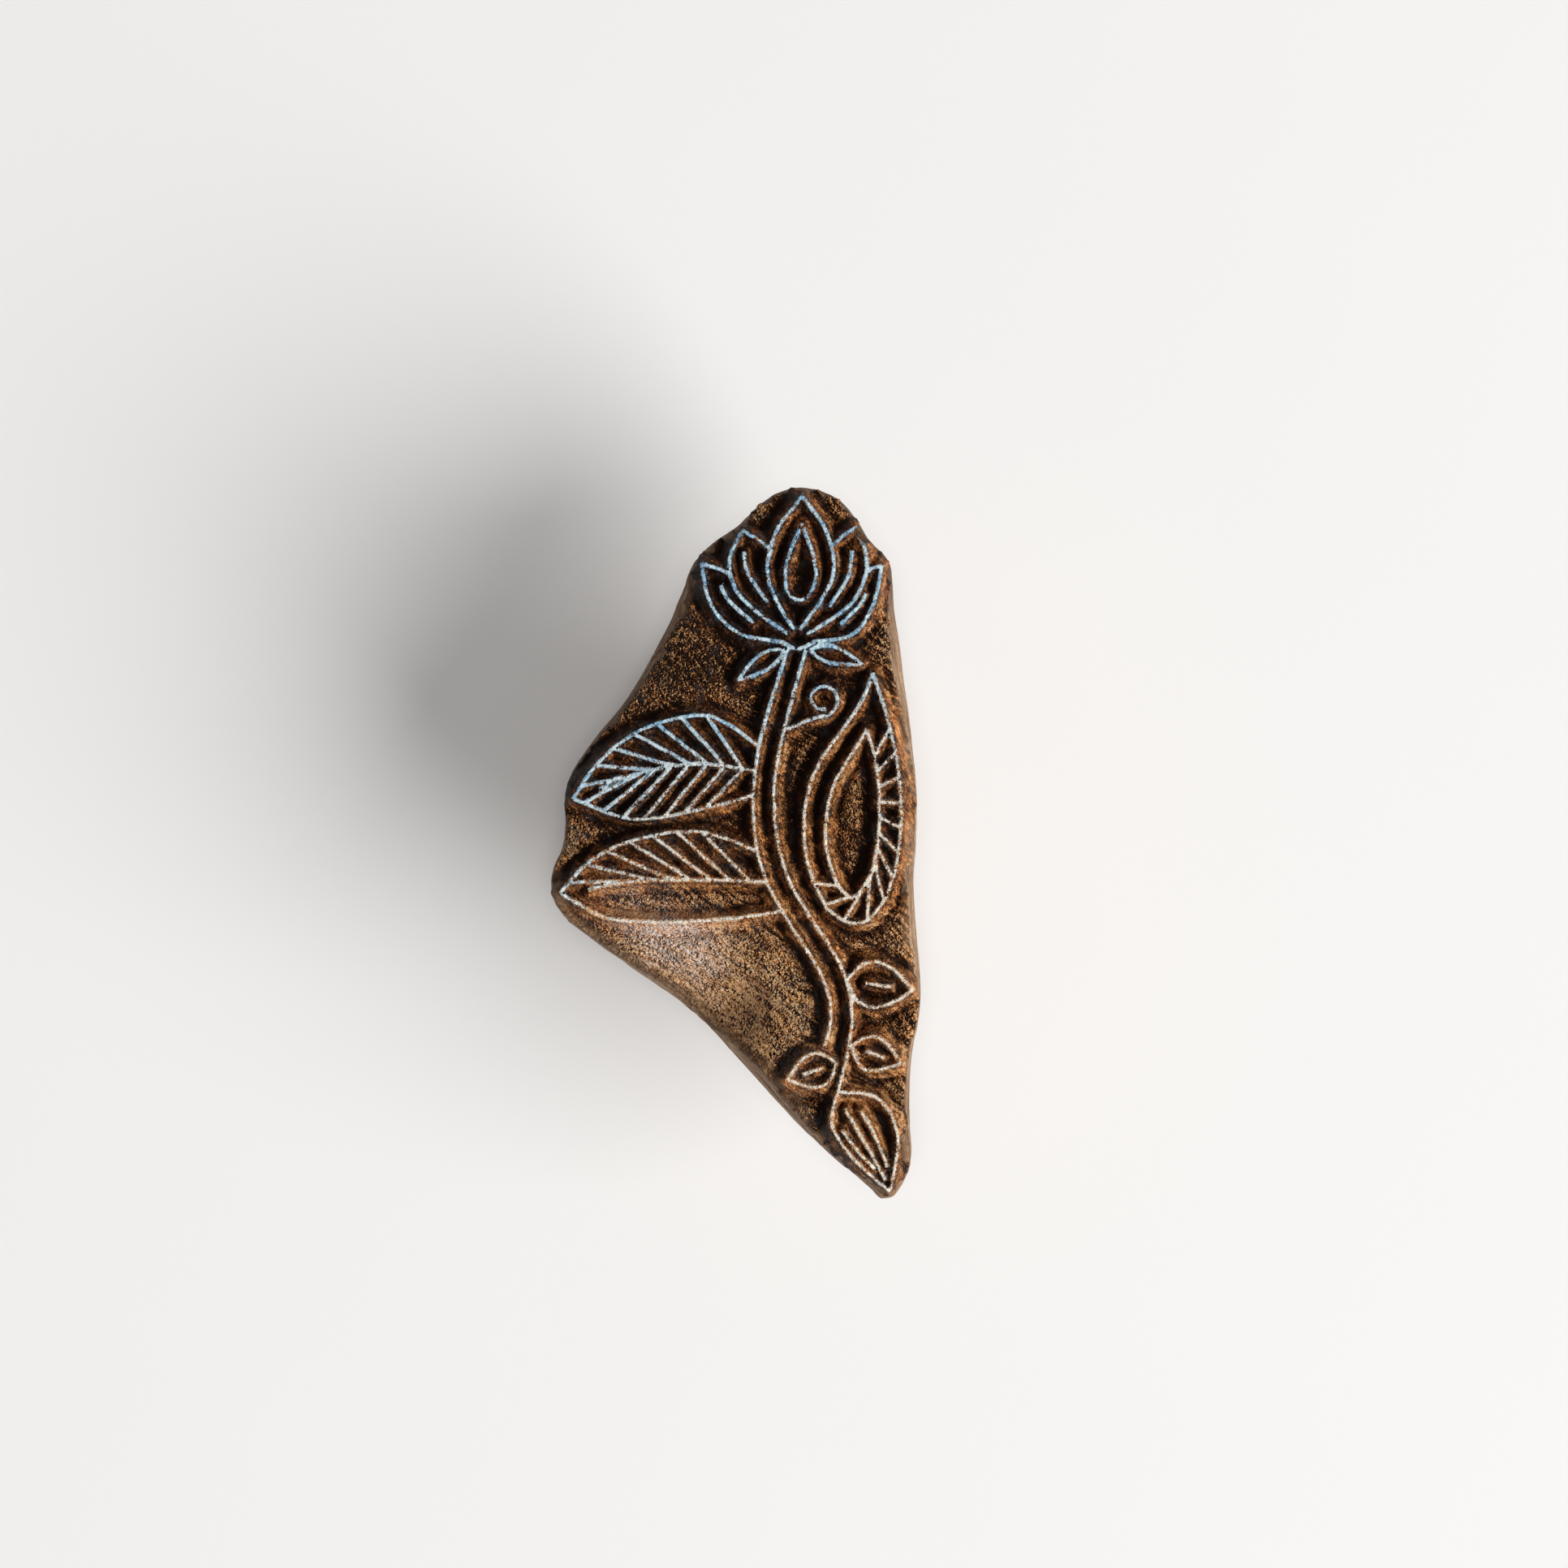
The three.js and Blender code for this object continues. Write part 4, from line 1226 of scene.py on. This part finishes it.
def carved_wood(finish):
    """Dark grained wood, torn and stippled by the gouge, with worn paint on the ridges, and with
    light and shade painted into its colour.
    """
    s = Shader("carved_wood")
    ridge, relief, shade, painted_light, hollow_shade, side, rim, tone, open_wood, dust_and_sheen, blue, crack, bare = (
        s.attribute(name) for name in ("ridge", "relief", "shade", "painted_light", "hollow_shade", "side", "rim",
                                       "tone", "open", "dust_and_sheen", "blue", "crack", "bare"))
    place = s.places()
    sway = s.times(s.centred(s.noise(place, 0.09, 1.0)), 7.0)
    sway = s.add("ShaderNodeCombineXYZ", {"Y": sway}).outputs[0]
    grain_place, line_place, hair_place = (
        s.shifted(s.places(turn=GRAIN_TURN, scale=scale), sway)
        for scale in ((0.15, 1.0, 0.4), (0.07, 1.0, 0.4), (0.15, 1.0, 0.5)))
    fibre_place = s.places(turn=GRAIN_TURN, scale=(0.6, 1.0, 1.0))

    # The grain: broad bands, dark streaks and lines, and frayed hairs on the cut ground.
    bands = s.noise(grain_place, 0.42, 2.0, 0.6, 0.8)
    streaks = s.ramp(s.noise(s.shifted(grain_place, (40, 9, 0)), 1.1, 2.0, 0.55, 0.6), 0.50, 0.64)
    clear = s.ramp(s.noise(place, 0.16, 1.0), 0.32, 0.50)
    lines = s.times(s.ramp(s.noise(line_place, 1.6, 2.0, 0.5, 0.2), 0.52, 0.58),
                    s.times(clear, s.ramp(ridge, 0.6, 1.8, 0.25, 1.0)))
    frayed = s.total(0.0, (s.noise(s.shifted(place, (0, 0, 30)), 0.24, 1.0), 1.0),
                     (open_wood, 0.1), (blue, -0.08))
    frayed = s.times(s.ramp(ridge, 0.2, 1.8, 0.30, 1.0), s.ramp(frayed, 0.36, 0.60, 0.25, 1.0))
    hairs = s.times(s.ramp(s.noise(s.shifted(hair_place, (11, 5, 0)), 2.0, 2.0, 0.55, 0.3),
                           0.46, 0.57, 0.4, -0.6), frayed)

    # The torn surface: fibre ends, grit and cracks, finest on the ridges, with painted light and
    # shade on each speck, lit from the side of the main lamp.
    stipple, stipple_light = s.carved_noise(fibre_place, (0.085, 0.04, 0), 3.2, 1.5, 0.6)
    grit, grit_light = s.carved_noise(place, (0.11, -0.045, 0.03), 3.5, 1.5, 0.8)
    worm = s.noise(place, 1.9, 2.0, 0.6, 1.2)
    cracked = s.ramp(s.size_of(s.centred(worm)), 0.0, 0.045, 1.0, 0.0)
    split = s.ramp(s.size_of(crack), 0.03, 0.10, 1.0, 0.0)
    side_share = s.ramp(side, 0.3, 0.9)
    # The painted shade of the hollows makes the specks fainter there and darkens the total below.
    coarse = s.larger(s.total(0.0, (s.ramp(ridge, 0.3, 2.2, 0.36, 1.1), 1.0), (open_wood, 0.4),
                              (hollow_shade, -0.3), (bare, -0.55), (side_share, -0.35)), 0.15)
    # Painted light and shade on the specks: lighter on their sides towards the main lamp.
    sharp = s.times(s.total(0.0, (stipple_light, 2.6), (grit_light, 2.8), (s.centred(stipple), 1.2)), coarse)
    outline = s.ramp(s.size_of(s.total(-0.10, (ridge, 1.0))), 0.08, 0.26, 1.0, 0.0)
    mounds = s.times(s.centred(s.noise(s.shifted(place, (20, 0, 0)), 0.75, 1.0)),
                     s.ramp(ridge, 0.5, 1.8, 1.0, 0.2))
    bare_top = s.times(s.ramp(ridge, 0.15, -0.1), s.ramp(blue, 0.5, 0.1))

    # The relief term lightens what stands above the mean round it and darkens what lies below:
    # partly worn crests and old colour in the hollows, partly painted shade in the hollows.
    value = s.total(0.59, (s.centred(bands), 0.9), (streaks, -0.33), (lines, -0.62),
                    (sharp, 1.45), (hairs, 0.95), (cracked, -0.20), (tone, 1.0), (open_wood, 0.06),
                    # Painted light makes the flanks that face the main lamp lighter, a little less
                    # under blue paint.
                    (relief, 0.16), (rim, 0.08), (painted_light, 0.34), (hollow_shade, -0.20), (bare, 0.10),
                    (s.times(painted_light, blue), -0.10), (bare_top, 0.22), (split, -0.6),
                    (mounds, 0.55), (outline, -0.22))
    # Painted shadow: the whole colour is darker in the lee of the ridges, away from the main lamp.
    value = s.times(value, s.maths("MULTIPLY_ADD", shade, -0.66, 0.76), clamp=True)
    wood = s.steps(value, (0.0, finish.soot_wood), (0.17, finish.dark_wood),
                   (0.36, finish.brown_wood), (0.62, finish.orange_wood), (0.84, finish.tan_wood),
                   (1.0, finish.pale_wood))

    # Grey patches by noise, kept off the flanks with painted light and off the open ground; dust
    # with a painted sheen of pale specks on the shoulder; and cooler and warmer patches.
    grey = s.times(s.ramp(s.noise(s.shifted(place, (0, 50, 0)), 0.42, 3.0, 0.6),
                          0.52, 0.66, 0.0, 0.7),
                   s.ramp(s.total(painted_light, (open_wood, 0.5)), 0.0, 0.6, 1.0, 0.0))
    wood = s.mix(grey, wood, s.mix(0.55, wood, (0.040, 0.045, 0.052)))
    wood = s.mix(s.times(s.times(dust_and_sheen, dust_and_sheen), 0.10), wood, finish.dust_and_sheen)
    # Painted sheen: pale specks of the dust colour where the painted light on the specks is
    # brightest.
    speck = s.total(0.0, (stipple_light, 2.6), (grit_light, 3.2), (s.centred(stipple), 1.2), (dust_and_sheen, 0.10),
                    (lines, -0.30))
    wood = s.mix(s.times(dust_and_sheen, s.ramp(speck, 0.02, 0.26)), wood, finish.dust_and_sheen)
    hue = s.total(0.0, (s.noise(s.shifted(place, (0, 0, 90)), 2.3, 1.0), 0.6),
                  (s.noise(s.shifted(grain_place, (0, 30, 0)), 0.7, 1.0), 0.4),
                  (open_wood, 0.09), (dust_and_sheen, -0.03))
    wood = s.mix(0.75, wood, s.mix(s.ramp(hue, 0.40, 0.60), (0.88, 0.98, 1.08),
                                   (1.20, 1.0, 0.78)), "MULTIPLY")

    filed, filed_height = filed_wood(s, finish, place, stipple, grit_light, bare)
    wood = s.mix(s.times(side_share, 0.92), wood, filed)
    paint, painted = worn_paint(s, finish, place, ridge, blue, cracked, grit_light, stipple_light)
    colour = s.mix(painted, wood, paint)
    height = s.total(0.0, (stipple, 1.0), (grit, 0.6), (cracked, -0.25), (split, -1.0))
    height = s.total(0.0, (s.times(height, coarse), 1.0),
                     (s.times(filed_height, side_share), 0.8))
    normal = s.bump(painted, 0.00005, 0.7, s.bump(height, 0.00050, 1.0))
    return s.finish(colour, s.ramp(stipple, 0.3, 0.7, 0.5, 0.8), normal, 0.14)


def filed_wood(s, finish, place, stipple, grit_light, bare):
    """Colour and height of the filed sides, with layers of the grain, a stain at the top, and paler
    parts that are partly rubbed wood and partly painted light.
    """
    layer_place = s.places(turn=GRAIN_TURN, scale=(0.05, 0.30, 1.0))
    layers = s.noise(layer_place, 1.1, 3.0, 0.6, 0.6)
    threads = s.noise(s.shifted(layer_place, (0, 0, 60)), 3.6, 2.0, 0.6, 0.3)
    strokes = s.noise(s.places(turn=(0.6, 0.5, 0.4), scale=(0.12, 1.0, 1.0)), 1.7, 2.0, 0.6)
    rings = s.noise(s.places(turn=GRAIN_TURN, scale=(0.02, 0.10, 0.40)), 1.0, 3.0, 0.55, 1.2)
    pores = s.ramp(s.noise(s.shifted(layer_place, (9, 0, 0)), 5.5, 1.0), 0.58, 0.66)
    # Painted light and shade on the specks also lightens and darkens the filed sides.
    value = s.total(0.53, (s.centred(rings), 1.3), (s.centred(layers), 1.1),
                    (s.centred(threads), 0.55), (pores, -0.12), (s.centred(strokes), 0.6),
                    (s.centred(stipple), 0.35), (grit_light, 0.6), (bare, 0.12))
    filed = s.steps(value, (0.05, finish.dark_wood), (0.34, (0.170, 0.0780, 0.0300)),
                    (0.60, (0.360, 0.2050, 0.1050)), (0.90, finish.side_wood))
    stained = s.ramp(s.total(0.0, (s.height(place), 1.0), (s.noise(place, 0.22, 3.0, 0.6), 16.0)),
                     43.0, 51.0, 0.15, 0.85)
    stained = s.times(stained, s.ramp(bare, 0.0, 1.0, 1.0, 0.25))
    filed = s.mix(stained, filed, s.mix(0.65, filed, finish.dark_wood))
    return filed, s.total(0.0, (layers, 0.5), (threads, 0.35), (strokes, 0.4), (pores, -0.2))


def worn_paint(s, finish, place, ridge, blue, cracked, grit_light, stipple_light):
    """Colour of the dried paint, and where it is left: along the middles of the ridges."""
    flakes = s.total(0.0, (s.centred(s.noise(place, 3.3, 2.0, 0.7, 0.8)), 1.7),
                     (s.centred(s.noise(place, 1.0, 2.0, 0.6)), 1.3), (cracked, -0.20))
    inner = s.total(0.0, (ridge, 1.0), (s.ramp(blue, 0.7, 0.1, 0.025, 0.085), 1.0))
    edge = s.total(0.0, (inner, 1.0), (flakes, -1.0), (s.attribute("reach"), -0.8))
    on_top = s.times(s.ramp(inner, 0.01, -0.09), s.ramp(ridge, -0.80, -0.42))
    painted = s.times(s.ramp(edge, 0.01, -0.07), on_top)
    stain = s.times(s.ramp(ridge, 0.6, 0.0), s.ramp(flakes, 0.12, 0.26, 0.0, 0.3))
    painted = s.larger(painted, stain)
    paint = s.mix(blue, finish.cream_paint, finish.blue_paint)
    thick = s.larger(s.ramp(s.noise(place, 0.35, 2.0), 0.48, 0.58, 0.0, 0.9),
                     s.ramp(ridge, -0.26, -0.06, 0.0, 0.75))
    thick = s.times(blue, thick)
    paint = s.mix(thick, paint, finish.deep_paint)
    dirty = s.ramp(s.noise(s.shifted(place, (70, 0, 0)), 0.5, 2.0, 0.6), 0.42, 0.62)
    dirty = s.times(dirty, s.ramp(blue, 0.0, 1.0, 0.42, 0.25))
    paint = s.mix(dirty, paint, finish.brown_wood)
    # The paint turns pale and thin by turns, with noise and with the painted light and shade on the
    # specks.
    chalk = s.ramp(s.total(0.52, (grit_light, 1.2), (stipple_light, 0.6),
                           (s.centred(s.noise(place, 1.5, 2.0)), 2.4)), 0.10, 0.54)
    thin = s.mix(0.5, paint, finish.dark_wood)
    pale = s.mix(s.maths("MULTIPLY_ADD", thick, -0.45, 0.66), paint,
                 s.mix(blue, (0.98, 0.94, 0.85), (0.90, 0.95, 0.97)))
    return s.mix(chalk, thin, pale), painted


def grip_wood(finish):
    """Handled hardwood with straight grain, grime under the block and smears of old paint."""
    s = Shader("grip_wood")
    place = s.places()
    grain = s.places(turn=(0, math.radians(4), 0), scale=(1.0, 0.5, 0.09))
    bands = s.noise(grain, 0.55, 4.0, 0.6, 0.7)
    pores = s.noise(s.places(scale=(3.0, 3.0, 0.35)), 1.6, 2.0, 0.6)
    rays = s.noise(s.places(scale=(2.0, 2.0, 0.12)), 2.4, 2.0, 0.6)
    height = s.height(place)
    waist = s.ramp(s.size_of(s.total(-13.0, (height, 1.0))), 2.0, 10.0, 1.0, 0.0)
    scratches = s.ramp(s.noise(s.places(turn=(0.5, 0.3, 0.9), scale=(0.07, 1.0, 1.0)), 1.5, 2.0,
                               0.5), 0.62, 0.66)
    value = s.total(0.47, (s.centred(bands), 1.3), (s.ramp(pores, 0.5, 0.7), -0.25),
                    (s.centred(rays), 0.7), (waist, 0.10), (scratches, 0.16))
    dark = tuple(0.35 * channel for channel in finish.grip_wood)
    pale = tuple(1.5 * channel for channel in finish.grip_wood)
    colour = s.steps(value, (0.15, dark), (0.5, finish.grip_wood), (0.9, pale))
    dirt = s.ramp(s.noise(place, 0.12, 3.0), 0.45, 0.75, 0.0, 0.55)
    cloud = s.centred(s.noise(s.shifted(place, (0, 0, 40)), 0.3, 3.0, 0.6))
    grime = s.ramp(s.total(0.0, (height, 1.0), (cloud, 9.0)), 20.0, 28.0, 0.0, 0.8)
    scuffed = s.ramp(s.total(0.0, (height, 1.0), (cloud, 5.0)), 0.6, 3.0, 0.6, 0.0)
    dirt = s.larger(dirt, s.larger(grime, scuffed))
    colour = s.mix(dirt, colour, finish.dark_wood)
    smear = s.noise(s.places(turn=(0, 0.4, 0), scale=(1.0, 1.0, 0.35)), 0.42, 3.0, 0.65, 0.6)
    smear = s.times(s.ramp(smear, 0.65, 0.69), s.ramp(pores, 0.40, 0.60, 0.75, 0.15))
    colour = s.mix(smear, colour, finish.blue_paint)
    relief = s.total(0.0, (pores, 1.0), (rays, 0.5), (scratches, -0.5))
    normal = s.bump(relief, 0.00016, 0.8)
    polish = s.total(0.46, (dirt, 0.30), (waist, -0.08), (smear, 0.15))
    return s.finish(colour, polish, normal, 0.4)


def nail_steel(finish):
    """Dull drawn wire with a little rust."""
    s = Shader("nail_steel")
    rust = s.ramp(s.noise(s.places(), 1.1, 4.0, 0.65), 0.48, 0.66)
    colour = s.mix(rust, finish.nail_steel, (0.14, 0.05, 0.022))
    s.put(s.surface.inputs["Metallic"], s.ramp(rust, 0, 1, 1.0, 0.1))
    normal = s.bump(s.noise(s.places(), 2.6, 3.0), 0.0002, 0.6)
    return s.finish(colour, s.ramp(rust, 0, 1, 0.38, 0.85), normal)


def fibre_wood(finish):
    """Loose fibres, some pale where they are freshly torn and some dark with old colour."""
    s = Shader("torn_fibre")
    value = s.noise(s.places(), 0.8, 2.0, 0.6)
    colour = s.steps(value, (0.35, finish.dark_wood), (0.5, finish.brown_wood),
                     (0.62, finish.orange_wood), (0.8, finish.tan_wood))
    normal = s.bump(s.noise(s.places(), 5.0, 2.0), 0.00005, 0.8)
    return s.finish(colour, 0.7, normal, 0.2)


def crumbled_paint(finish):
    """Dry crumbs of the same paint as on the ridges."""
    s = Shader("paint_crumb")
    paint = s.mix(s.attribute("blue"), finish.cream_paint, finish.blue_paint)
    dirt = s.ramp(s.noise(s.places(), 1.7, 2.0), 0.45, 0.62)
    colour = s.mix(dirt, s.mix(0.5, paint, (0.92, 0.93, 0.90)), s.mix(0.6, paint, finish.dark_wood))
    normal = s.bump(s.noise(s.places(), 6.0, 2.0), 0.00004, 0.8)
    return s.finish(colour, 0.75, normal, 0.2)


def scatter_tree(name, solid, shape):
    """A node tree that strews small solids over a surface, made from one mesh node."""
    tree = bpy.data.node_groups.new(name, "GeometryNodeTree")
    sockets = (("Surface", "Geometry"), ("Density", "Float"), ("Smallest", "Vector"),
               ("Largest", "Vector"), ("Turn from", "Vector"), ("Turn to", "Vector"),
               ("Seed", "Int"), ("Material", "Material"))
    for label, kind in sockets:
        tree.interface.new_socket(label, in_out="INPUT", socket_type="NodeSocket" + kind)
    tree.interface.new_socket("Solids", in_out="OUTPUT", socket_type="NodeSocketGeometry")
    add = NodeTree(tree).add
    given = add("NodeGroupInput").outputs

    def between_two(low, high, seed):
        return add("FunctionNodeRandomValue", {
            "Min": given[low], "Max": given[high], "Seed": seed},
            data_type="FLOAT_VECTOR").outputs[0]

    points = add("GeometryNodeDistributePointsOnFaces", {
        "Mesh": given["Surface"], "Density": given["Density"], "Seed": given["Seed"]})
    other_seed = add("FunctionNodeIntegerMath", {0: given["Seed"], 1: 1}, operation="ADD")
    solids = add("GeometryNodeInstanceOnPoints", {
        "Points": points.outputs["Points"], "Instance": add(solid, shape).outputs[0],
        "Rotation": between_two("Turn from", "Turn to", other_seed.outputs[0]),
        "Scale": between_two("Smallest", "Largest", given["Seed"])})
    real = add("GeometryNodeRealizeInstances", {"Geometry": solids.outputs[0]})
    dressed = add("GeometryNodeSetMaterial", {
        "Geometry": real.outputs[0], "Material": given["Material"]})
    add("NodeGroupOutput", {0: dressed.outputs[0]})
    return tree


def scattered(name, surface, tree, values):
    """A plain mesh object of the solids that a tree strews over a surface."""
    modifier = surface.modifiers.new("scatter", "NODES")
    modifier.node_group = tree
    for item in tree.interface.items_tree:
        if item.in_out == "INPUT" and item.name in values:
            modifier[item.identifier] = values[item.name]
    evaluated = surface.evaluated_get(bpy.context.evaluated_depsgraph_get())
    mesh = bpy.data.meshes.new_from_object(evaluated)
    surface.modifiers.remove(modifier)
    bpy.data.objects.remove(surface)
    if not mesh.polygons:
        raise RuntimeError(f"{name}: nothing was scattered")
    mesh.name = name
    return linked(name, mesh)


def part_of_face(name, chosen):
    """A temporary surface from the carved block's triangles whose three points are chosen."""
    block = bpy.data.objects["carved_block_wood"].data
    points, faces = mesh_arrays(block)
    shades = {}
    for label in ("ridge", "side", "rim", "blue"):
        shades[label] = np.empty(len(block.vertices), dtype=np.float32)
        block.attributes[label].data.foreach_get("value", shades[label])
    faces = faces[chosen(shades)[faces].all(axis=1)]
    used, faces = np.unique(faces, return_inverse=True)
    return mesh_object(name, points[used], faces.reshape(-1, 3),
                       bpy.data.materials["carved_wood"], {"blue": shades["blue"][used]})


def settings():
    return bpy.context.scene.printing_block


class PRINTBLOCK_OT_carved_block(bpy.types.Operator):
    """Carve the block's face, sides and back, and paint its ridges"""

    bl_idname = "printblock.carved_block"
    bl_label = "Carved Block"

    def execute(self, context):
        values = settings()
        body, shades = carved_block(Blank(values.carving), values.carving)
        block = mesh_object("carved_block_wood", body.points(), body.triangles(),
                            carved_wood(values.finish), shades)
        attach(block, "root")
        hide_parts("carved_block")
        return {"FINISHED"}


class PRINTBLOCK_OT_fibres(bpy.types.Operator):
    """Strew torn fibres over the cut ground, away from its edge"""

    bl_idname = "printblock.fibres"
    bl_label = "Torn Fibres"

    def execute(self, context):
        scatter = settings().scatter
        half_length, spread = scatter.fibre_length / 2, 0.5
        tree = scatter_tree("torn_fibres", "GeometryNodeMeshCone", {
            "Vertices": 4, "Radius Top": 0.15, "Radius Bottom": 1.0, "Depth": 2.0})
        along = math.pi / 2 + math.radians(GRAIN_ANGLE)
        surface = part_of_face("cut_ground", lambda shades: (
            shades["ridge"] > 1.1) & (shades["side"] < 0.1) & (shades["rim"] < 0.35))
        fibres = scattered("torn_fibres", surface, tree, {
            "Density": scatter.fibre_density * MM * MM, "Seed": 3,
            "Smallest": (0.00003, 0.00003, 0.3 * half_length),
            "Largest": (0.00008, 0.00006, half_length),
            "Turn from": (math.radians(72), 0, along - spread),
            "Turn to": (math.radians(96), 0, along + spread),
            "Material": fibre_wood(settings().finish)})
        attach(fibres, "root")
        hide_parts("carved_block")
        return {"FINISHED"}


class PRINTBLOCK_OT_crumbs(bpy.types.Operator):
    """Strew crumbs of dry paint over the tops of the ridges"""

    bl_idname = "printblock.crumbs"
    bl_label = "Paint Crumbs"

    def execute(self, context):
        scatter = settings().scatter
        radius, tilt = scatter.crumb_size / 2, 0.15
        tree = scatter_tree("paint_crumbs", "GeometryNodeMeshIcoSphere", {
            "Radius": 1.0, "Subdivisions": 1})
        surface = part_of_face("ridge_tops", lambda shades: shades["ridge"] < -0.07)
        crumbs = scattered("paint_crumbs", surface, tree, {
            "Density": scatter.crumb_density * MM * MM, "Seed": 7,
            "Smallest": (0.25 * radius, 0.25 * radius, 0.000010),
            "Largest": (radius, radius, 0.000025),
            "Turn from": (-tilt, -tilt, 0), "Turn to": (tilt, tilt, math.pi),
            "Material": crumbled_paint(settings().finish)})
        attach(crumbs, "root")
        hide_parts("carved_block")
        return {"FINISHED"}


class PRINTBLOCK_OT_grip(bpy.types.Operator):
    """File the grip to shape and bore it for the nails"""

    bl_idname = "printblock.grip"
    bl_label = "Grip"

    def execute(self, context):
        values = settings()
        body = filed_grip()
        grip = mesh_object("handle_grip_wood", body.points(), body.triangles(),
                           grip_wood(values.finish))
        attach(grip, "root")
        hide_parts("handle_grip")
        return {"FINISHED"}


class PRINTBLOCK_OT_nails(bpy.types.Operator):
    """Forge the two nails that hold the grip"""

    bl_idname = "printblock.nails"
    bl_label = "Nails"

    def execute(self, context):
        material = nail_steel(settings().finish)
        for seed, node in enumerate(NAILS):
            body = forged_nail(node, seed)
            nail = mesh_object(node + "_wire", body.points(), body.triangles(), material)
            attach(nail, "root")
            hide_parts(node)
        return {"FINISHED"}


class PRINTBLOCK_OT_studio(bpy.types.Operator):
    """Set the camera, the two soft lamps, the fill light and the pale floor"""

    bl_idname = "printblock.studio"
    bl_label = "Studio"

    def execute(self, context):
        studio = settings().studio
        add_camera(studio)
        add_lamp(studio, "main_lamp", studio.lamp_azimuth, studio.lamp_elevation,
                 studio.lamp_radius, studio.lamp_share)
        add_lamp(studio, "overhead_lamp", 0.0, math.pi / 2, studio.overhead_radius,
                 1 - studio.lamp_share - studio.sky_share)
        add_world(studio)
        add_floor(studio)
        context.scene.view_settings.view_transform = "Standard"
        return {"FINISHED"}


def add_camera(studio):
    camera = bpy.data.cameras.new("overhead_camera")
    camera.sensor_width = 36
    camera.lens = camera.sensor_width * studio.camera_height / PHOTO_SPAN
    camera.clip_start = 0.05
    view = linked("overhead_camera", camera)
    view.location = (*PHOTO_CENTRE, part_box("carved_block")[1][2] + studio.camera_height)
    bpy.context.scene.camera = view


def add_lamp(studio, name, azimuth, elevation, angle, share):
    """A round soft lamp that gives a share of the light which shows the floor's own colour."""
    toward = Vector((math.cos(elevation) * math.cos(azimuth),
                     math.cos(elevation) * math.sin(azimuth), math.sin(elevation)))
    radius = studio.lamp_distance * math.tan(angle)
    irradiance = share * math.pi / math.sin(elevation)
    light = bpy.data.lights.new(name, "AREA")
    light.shape = "DISK"
    light.size = 2 * radius
    light.energy = irradiance * math.pi * radius ** 2 / math.sin(angle) ** 2
    lamp = linked(name, light)
    lamp.location = Vector((*PHOTO_CENTRE, 0)) + studio.lamp_distance * toward
    lamp.rotation_euler = toward.to_track_quat("Z", "Y").to_euler()


def add_world(studio):
    """Even light from all round. The camera sees it as a pale background."""
    world = bpy.data.worlds.new("fill_light")
    world.use_nodes = True
    nodes = NodeTree(world.node_tree)
    strength = nodes.add("ShaderNodeMapRange", {
        "Value": nodes.add("ShaderNodeLightPath").outputs["Is Camera Ray"],
        "To Min": studio.sky_share, "To Max": studio.background})
    background = world.node_tree.nodes["Background"]
    nodes.put(background.inputs["Strength"], strength.outputs[0])
    nodes.put(background.inputs["Color"], (1.0, 1.0, 1.0))
    bpy.context.scene.world = world


def add_floor(studio):
    """A wide plain floor just under the block's foot, with a faint mottle."""
    s = Shader("pale_floor")
    mottle = s.ramp(s.noise(s.places(), 0.02, 2.0), 0.3, 0.7)
    colour = s.mix(mottle, tuple(c * 0.995 for c in studio.floor), studio.floor)
    s.finish(colour, 0.9, s.bump(s.noise(s.places(), 0.8, 2.0), 0.00005, 0.2), 0.2)
    reach, steps, drop = 2500.0, 8, 0.02
    line = np.linspace(-reach, reach, steps + 1)
    gx, gy = np.meshgrid(line, line)
    points = raised(np.column_stack([gx.ravel(), gy.ravel()]), -drop)
    corner = (np.arange(steps)[None, :] + (steps + 1) * np.arange(steps)[:, None]).ravel()
    faces = np.column_stack([corner, corner + 1, corner + steps + 2, corner + steps + 1])
    floor = mesh_object("pale_floor", points, faces, s.material)


class PrintingBlockSettings(bpy.types.PropertyGroup):
    """All the sizes and colours of the block and its studio."""

    carving: bpy.props.PointerProperty(type=CarvingSettings, name="Carving")
    finish: bpy.props.PointerProperty(type=FinishSettings, name="Finish")
    scatter: bpy.props.PointerProperty(type=ScatterSettings, name="Loose matter")
    studio: bpy.props.PointerProperty(type=StudioSettings, name="Studio")


class PRINTBLOCK_PT_panel(bpy.types.Panel):
    """The block's operators, in the order in which they are run"""

    bl_idname = "PRINTBLOCK_PT_panel"
    bl_label = "Printing Block"
    bl_space_type = "VIEW_3D"
    bl_region_type = "UI"
    bl_category = "Printing Block"

    def draw(self, context):
        for step in STEPS:
            self.layout.operator(step.bl_idname)
        for group in (settings().carving, settings().finish, settings().scatter,
                      settings().studio):
            box = self.layout.box()
            box.label(text=type(group).__name__.replace("Settings", ""))
            for name in type(group).__annotations__:
                box.prop(group, name)


STEPS = (PRINTBLOCK_OT_carved_block, PRINTBLOCK_OT_fibres, PRINTBLOCK_OT_crumbs,
         PRINTBLOCK_OT_grip, PRINTBLOCK_OT_nails, PRINTBLOCK_OT_studio)
CLASSES = (CarvingSettings, FinishSettings, ScatterSettings, StudioSettings,
           PrintingBlockSettings, *STEPS, PRINTBLOCK_PT_panel)


def register():
    for cls in CLASSES:
        bpy.utils.register_class(cls)
    bpy.types.Scene.printing_block = bpy.props.PointerProperty(type=PrintingBlockSettings)


def unregister():
    del bpy.types.Scene.printing_block
    for cls in reversed(CLASSES):
        bpy.utils.unregister_class(cls)


def main():
    register()
    for step in STEPS:
        group, name = step.bl_idname.split(".")
        getattr(getattr(bpy.ops, group), name)()


if __name__ == "__main__":
    main()
